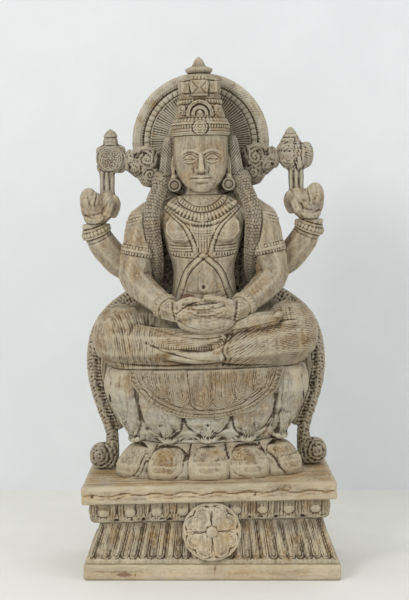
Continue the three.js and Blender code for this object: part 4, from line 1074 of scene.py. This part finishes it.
def age_group():
    """Colour by the depth of the carving: dirt and painted shade in the cuts, wear and a painted highlight on
    the ridges, a thin limewash, and the dark marks, painted shade in some places and grime in others.
    """
    inputs = [
        ("Bare", "Color", tone(149, 136, 113)), ("Warm", "Color", tone(142, 122, 90)),
        ("Dirt_and_shade", "Color", tone(81, 69, 53)), ("Lime", "Color", tone(173, 167, 154)),
        ("Streak", "Float", 0.5), ("Drift", "Float", 0.5), ("Pores", "Float", 0.0),
        ("Hollow", "Float", 0.5), ("Wash", "Float", 0.0), ("Dark", "Float", 0.0),
        ("Grey", "Float", 0.0), ("Stain", "Float", 0.0), ("Place", "Vector", None), ("Lines", "Float", 0.6),
    ]
    tree, t, into, out = group("timber_age", inputs, [("Color", "Color"), ("Roughness", "Float")])
    base = t.mix(t.step(into["Drift"], 0.42, 0.62), into["Bare"], into["Warm"])
    streaks = t.math("MULTIPLY", t.step(into["Streak"], 0.44, 0.62), into["Lines"])
    base = t.mix(streaks, base, into["Dirt_and_shade"])
    fleck = t.noise(into["Place"], 170.0, 4.0, 0.7)
    base = t.mix(t.step(fleck, 0.52, 0.68, 0.0, 0.55), base, into["Lime"])
    base = t.mix(t.step(fleck, 0.47, 0.32, 0.0, 0.5), base, into["Dirt_and_shade"])
    cool = t.noise(into["Place"], 27.0, 4.0, 0.6)
    base = t.mix(t.step(cool, 0.5, 0.68, 0.0, 0.42), base, tone(134, 128, 118))
    # Paler on the ridges: wear, and a painted highlight.
    worn = t.step(into["Hollow"], 0.45, 0.14, 0.0, 0.62)
    base = t.mix(worn, base, tone(184, 173, 147))
    wash = t.math("MULTIPLY", into["Wash"], t.step(t.noise(into["Place"], 45.0, 5.0, 0.65), 0.34, 0.6), True)
    base = t.mix(wash, base, into["Lime"])
    base = t.mix(t.math("MULTIPLY", into["Grey"], 0.75, True), base, tone(106, 98, 92))
    # The dark marks, in patches: painted shade under overhangs, beside the arms and behind the figure, and
    # grime elsewhere.
    patch = t.step(t.noise(into["Place"], 60.0, 5.0, 0.65), 0.3, 0.62, 0.45, 1.0)
    grime_and_shade = t.math("MULTIPLY", t.math("MULTIPLY", into["Dark"], patch), 0.8, True)
    base = t.mix(grime_and_shade, base, tone(74, 64, 51))
    # Darker in the cuts, darkest in the deepest: dirt, and painted shade.
    deep = t.step(into["Hollow"], 0.53, 0.88, 0.0, 0.95)
    base = t.mix(deep, base, into["Dirt_and_shade"])
    base = t.mix(t.step(into["Hollow"], 0.8, 1.0, 0.0, 0.6), base, tone(42, 35, 27))
    base = t.mix(t.math("MULTIPLY", into["Pores"], 0.45), base, into["Dirt_and_shade"])
    edge = t.math("ADD", into["Stain"], t.math("MULTIPLY", t.math("SUBTRACT", cool, 0.5), 0.7))
    mark = t.math("MULTIPLY", t.step(edge, 0.3, 0.6), t.step(into["Stain"], 0.02, 0.1), True)
    base = t.mix(t.math("MULTIPLY", mark, 0.75), base, tone(112, 74, 48))
    worm = t.node("ShaderNodeTexVoronoi", {"Vector": into["Place"], "Scale": 52.0}).outputs
    rare = t.node("ShaderNodeSeparateColor", {"Color": worm["Color"]}).outputs[0]
    hole = t.math("MULTIPLY", t.step(worm["Distance"], 0.075, 0.045), t.step(rare, 0.93, 0.94), True)
    base = t.mix(t.math("MULTIPLY", hole, 0.9), base, tone(39, 32, 25))
    tree.links.new(base, out["Color"])
    rough = t.step(into["Hollow"], 0.2, 0.8, 0.66, 0.93)
    tree.links.new(rough, out["Roughness"])
    return tree


GRAIN, AGE = grain_group(), age_group()


def timber(name, bare, warm, dirt_and_shade, lime, stretch=(1.0, 1.0, 0.09), bump=0.4, lines=0.6):
    mat = bpy.data.materials.new(name)
    mat.use_nodes = True
    t = Sheet(mat.node_tree)
    place = t.node("ShaderNodeTexCoord").outputs["Object"]
    grain = t.node("ShaderNodeGroup", node_tree=GRAIN)
    mat.node_tree.links.new(place, grain.inputs["Place"])
    grain.inputs["Stretch"].default_value = stretch
    age = t.node("ShaderNodeGroup", {}, node_tree=AGE)
    for label in ("Streak", "Drift", "Pores"):
        mat.node_tree.links.new(grain.outputs[label], age.inputs[label])
    mat.node_tree.links.new(place, age.inputs["Place"])
    for label in ("Hollow", "Wash", "Dark", "Grey", "Stain"):
        mark = t.node("ShaderNodeAttribute", attribute_name=label.lower()).outputs["Fac"]
        mat.node_tree.links.new(mark, age.inputs[label])
    for label, value in (("Bare", bare), ("Warm", warm), ("Dirt_and_shade", dirt_and_shade), ("Lime", lime)):
        age.inputs[label].default_value = tone(*value)
    age.inputs["Lines"].default_value = lines
    lift = t.node("ShaderNodeBump", {"Strength": bump, "Distance": 0.0012, "Height": grain.outputs["Height"]})
    shader = mat.node_tree.nodes["Principled BSDF"]
    mat.node_tree.links.new(age.outputs["Color"], shader.inputs["Base Color"])
    mat.node_tree.links.new(age.outputs["Roughness"], shader.inputs["Roughness"])
    mat.node_tree.links.new(lift.outputs["Normal"], shader.inputs["Normal"])
    shader.inputs["Specular IOR Level"].default_value = 0.25
    return mat


ALONG_X = (0.09, 1.0, 1.0)
# Colours: bare wood, warm wood, the dark of dirt and painted shade in the cuts, and limewash.
carved = timber("carved_timber", (164, 151, 127), (144, 119, 82), (86, 73, 54), (180, 173, 155))
limed = timber("limed_timber", (166, 158, 140), (147, 127, 94), (85, 74, 59), (186, 182, 169))
grey = timber("grey_timber", (158, 146, 126), (140, 121, 91), (76, 65, 53), (179, 173, 159))
board = timber(
    "board_timber", (194, 177, 146), (171, 142, 99), (112, 93, 66), (196, 189, 170), ALONG_X, 0.4, 0.8
)
boss = timber("boss_timber", (190, 176, 150), (172, 149, 112), (98, 84, 64), (195, 188, 171))
fluted = timber(
    "fluted_timber", (170, 156, 130), (144, 118, 82), (78, 66, 49), (180, 172, 154), bump=0.9, lines=0.95
)
peg = timber("peg_timber", (165, 147, 115), (156, 133, 97), (106, 88, 64), (177, 168, 150))

# ---------------------------------------------------------------- pieces
def shoulder(side):
    return [egg((66, 4, 272), (34, 27, 26), 20, side)]


def palm(side):
    swell = [((190, 12, 284), (29, 18, 23)), ((203, 2, 302), (16, 13, 21)), ((170, 5, 296), (15, 13, 19))]
    swell += [((187, 8, 298), (19, 14, 15))]
    return [egg(at, radii, 0, side) for at, radii in swell]


def scroll(side):
    return [egg((133, 22, 368), (9, 13, 17), 0, side), egg((76, 38, 336), (18, 14, 22), -20, side)]


def shoulder_of_frame(side):
    swell = [
        ((112, 52, 124), (24, 12, 20), 30),
        ((128, 52, 106), (24, 12, 22), 0),
        ((180, 52, 40), (13, 12, 40), 0),
    ]
    swell += [((185, 53, -14), (15, 12, 42), 6), ((176, 53, -62), (14, 12, 40), 14)]
    return [egg(at, radii, turn, side) for at, radii, turn in swell]


def knot(side):
    return [egg((72, -5, 324), (16, 14, 25), 16, side)]


def plain(_side):
    return []


SWELLINGS = {
    "clasped_hands": [
        ((2, -95, 84), (50, 25, 22)),
        ((26, -95, 103), (32, 24, 17)),
        ((-24, -94, 100), (30, 24, 18)),
    ],
    "crossed_legs": [((0, -22, 3), (170, 61, 9))],
    "lotus_bowl": [((dx, 12, -34), (15, 41, 35)) for dx in (-171, 171)],
    "discus": [((-162 + dx, 22, 374 + dz), (12, 12, 12)) for dx in (-15, 15) for dz in (-14, 14)],
    "conch": [((190, 22, 374), (13, 15, 24)), ((160, 20, 398), (17, 14, 9))],
}


# node, slot, wood, cell and softening, what carves it, swellings
SINGLE = [
    ("plinth_foot", "plinth_wood", board, 3.0, 2, carve_foot),
    ("plinth_block", "plinth_wood", fluted, 1.9, 3, carve_block),
    ("rosette", "limed_wood", boss, 1.15, 6, carve_rosette),
    ("valance_band", "plinth_wood", fluted, 2.1, 3, carve_valance),
    ("top_slab", "plinth_wood", board, 2.7, 2, carve_slab),
    ("lotus_lower", "carved_wood", carved, 1.8, 12, carve_lotus_low),
    ("lotus_bowl", "limed_wood", limed, 2.1, 18, carve_bowl),
    ("seat_cloth", "carved_wood", carved, 1.5, 8, carve_cloth),
    ("crossed_legs", "carved_wood", carved, 1.75, 26, carve_legs),
    ("back_panel", "grey_wood", grey, 2.6, 4, carve_back),
    ("torso", "carved_wood", carved, 1.5, 26, carve_torso),
    ("head", "carved_wood", carved, 1.25, 14, carve_head),
    ("crown", "carved_wood", carved, 1.2, 5, carve_crown),
    ("halo_wheel", "grey_wood", carved, 1.35, 4, carve_halo),
    ("clasped_hands", "carved_wood", carved, 1.3, 8, carve_hands),
    ("discus", "grey_wood", grey, 1.3, 5, lambda s: carve_discus(s, -1)),
    ("conch", "grey_wood", grey, 1.3, 5, lambda s: carve_conch(s, 1)),
]
PAIRS = [
    ("side_frame", "grey_wood", grey, 1.8, 14, carve_side_frame, shoulder_of_frame),
    ("front_arm", "carved_wood", carved, 1.7, 34, carve_front_arm, shoulder),
    ("rear_arm", "carved_wood", carved, 1.6, 26, carve_rear_arm, plain),
    ("rear_hand", "carved_wood", carved, 1.3, 9, carve_rear_hand, palm),
    ("hair_rope", "grey_wood", grey, 1.35, 10, carve_rope, knot),
    ("bracket", "grey_wood", grey, 1.4, 6, carve_bracket, scroll),
    ("earring", "carved_wood", grey, 0.8, 3, carve_earring, plain),
]
UPRIGHT = ("plinth_foot", "plinth_block", "rosette")


def make(node, slot, wood, cell, soften, carve, extras=()):
    piece = block(node, cell, soften, extras)
    skin = Skin(piece, node not in UPRIGHT)
    skin.keep(**carve(skin))
    piece.data.materials.clear()
    piece.data.materials.append(wood)
    only(piece)
    bpy.ops.object.shade_smooth()
    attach(piece, "root")
    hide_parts(node)


for row in SINGLE:
    make(*row, extras=[egg(at, radii) for at, radii in SWELLINGS.get(row[0], [])])
for node, slot, wood, cell, soften, carve, swell in PAIRS:
    for word, side in (("left", -1), ("right", 1)):
        name = f"{node}_{word}"
        make(name, slot, wood, cell, soften, lambda s, side=side, carve=carve: carve(s, side), swell(side))

for name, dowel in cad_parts.items():
    if name.startswith("dowel"):
        dowel.data.materials.clear()
        dowel.data.materials.append(peg)


# ---------------------------------------------------------------- room, light and camera
def plaster(name, colour, bump):
    mat = bpy.data.materials.new(name)
    mat.use_nodes = True
    t = Sheet(mat.node_tree)
    place = t.node("ShaderNodeTexCoord").outputs["Object"]
    spots = t.step(t.noise(place, 6.0, 5.0, 0.6), 0.4, 0.7)
    shader = mat.node_tree.nodes["Principled BSDF"]
    light = tuple(c * 1.03 for c in tone(*colour)[:3]) + (1.0,)
    mat.node_tree.links.new(t.mix(spots, tone(*colour), light), shader.inputs["Base Color"])
    shader.inputs["Roughness"].default_value = 0.85
    shader.inputs["Specular IOR Level"].default_value = 0.2
    unevenness = t.noise(place, 90.0, 4.0)
    lift = t.node("ShaderNodeBump", {"Strength": bump, "Distance": 0.002, "Height": unevenness})
    mat.node_tree.links.new(lift.outputs["Normal"], shader.inputs["Normal"])
    return mat


def sheet(name, size, place, turn, finish):
    bpy.ops.object.select_all(action="DESELECT")
    bpy.ops.mesh.primitive_plane_add(size=size, location=place, rotation=turn)
    panel = bpy.context.object
    panel.name = name
    bpy.ops.object.transform_apply(location=True, rotation=True, scale=True)
    panel.data.materials.append(finish)


ROOM, WALL_Y = 12.0, 0.70  # how wide floor and wall are, and how far back the wall stands
sheet("floor", ROOM, (0, 0, 0), (0, 0, 0), plaster("pale_floor", (226, 224, 218), 0.15))
plain_wall = plaster("pale_wall", (220, 222, 223), 0.05)
see_through = Sheet(plain_wall.node_tree)
behind = see_through.node("ShaderNodeNewGeometry").outputs["Backfacing"]
plain_wall.node_tree.links.new(
    see_through.math("SUBTRACT", 1.0, behind), plain_wall.node_tree.nodes["Principled BSDF"].inputs["Alpha"]
)
sheet("wall", ROOM, (0, WALL_Y, 0), (math.pi / 2, 0, 0), plain_wall)


def lamp(name, place, aim, size, power, colour=(1, 1, 1)):
    data = bpy.data.lights.new(name, "AREA")
    data.shape, data.size, data.energy, data.color = "DISK", size, power, colour
    made = bpy.data.objects.new(name, data)
    bpy.context.scene.collection.objects.link(made)
    made.location = place
    x, y, z = (b - a for a, b in zip(place, aim))
    made.rotation_euler = (math.pi - math.acos(z / math.sqrt(x * x + y * y + z * z)), 0, math.atan2(-x, y))


lamp("window", (-1.5, -2.35, 1.8), (0, 0, 0.45), 0.75, 31.0, (1.0, 0.99, 0.97))
lamp("fill", (1.8, -1.8, 1.3), (0, 0, 0.5), 1.8, 8.0, (0.97, 0.98, 1.0))
world = bpy.data.worlds.new("room")
world.use_nodes = True
world.node_tree.nodes["Background"].inputs["Color"].default_value = (0.97, 0.985, 1.0, 1.0)
world.node_tree.nodes["Background"].inputs["Strength"].default_value = 0.97
bpy.context.scene.world = world
bpy.context.scene.view_settings.view_transform = "Standard"

LENS, SENSOR = 86.1, 36.0  # mm
CAMERA_AT = (-0.0137, -2.575, 0.6322)
CAMERA_DIPS = 3.39  # degrees below level
lens = bpy.data.cameras.new("camera")
lens.lens, lens.sensor_width = LENS, SENSOR
camera = bpy.data.objects.new("camera", lens)
bpy.context.scene.collection.objects.link(camera)
camera.location = CAMERA_AT
camera.rotation_euler = (math.radians(90 - CAMERA_DIPS), 0, 0)
bpy.context.scene.camera = camera
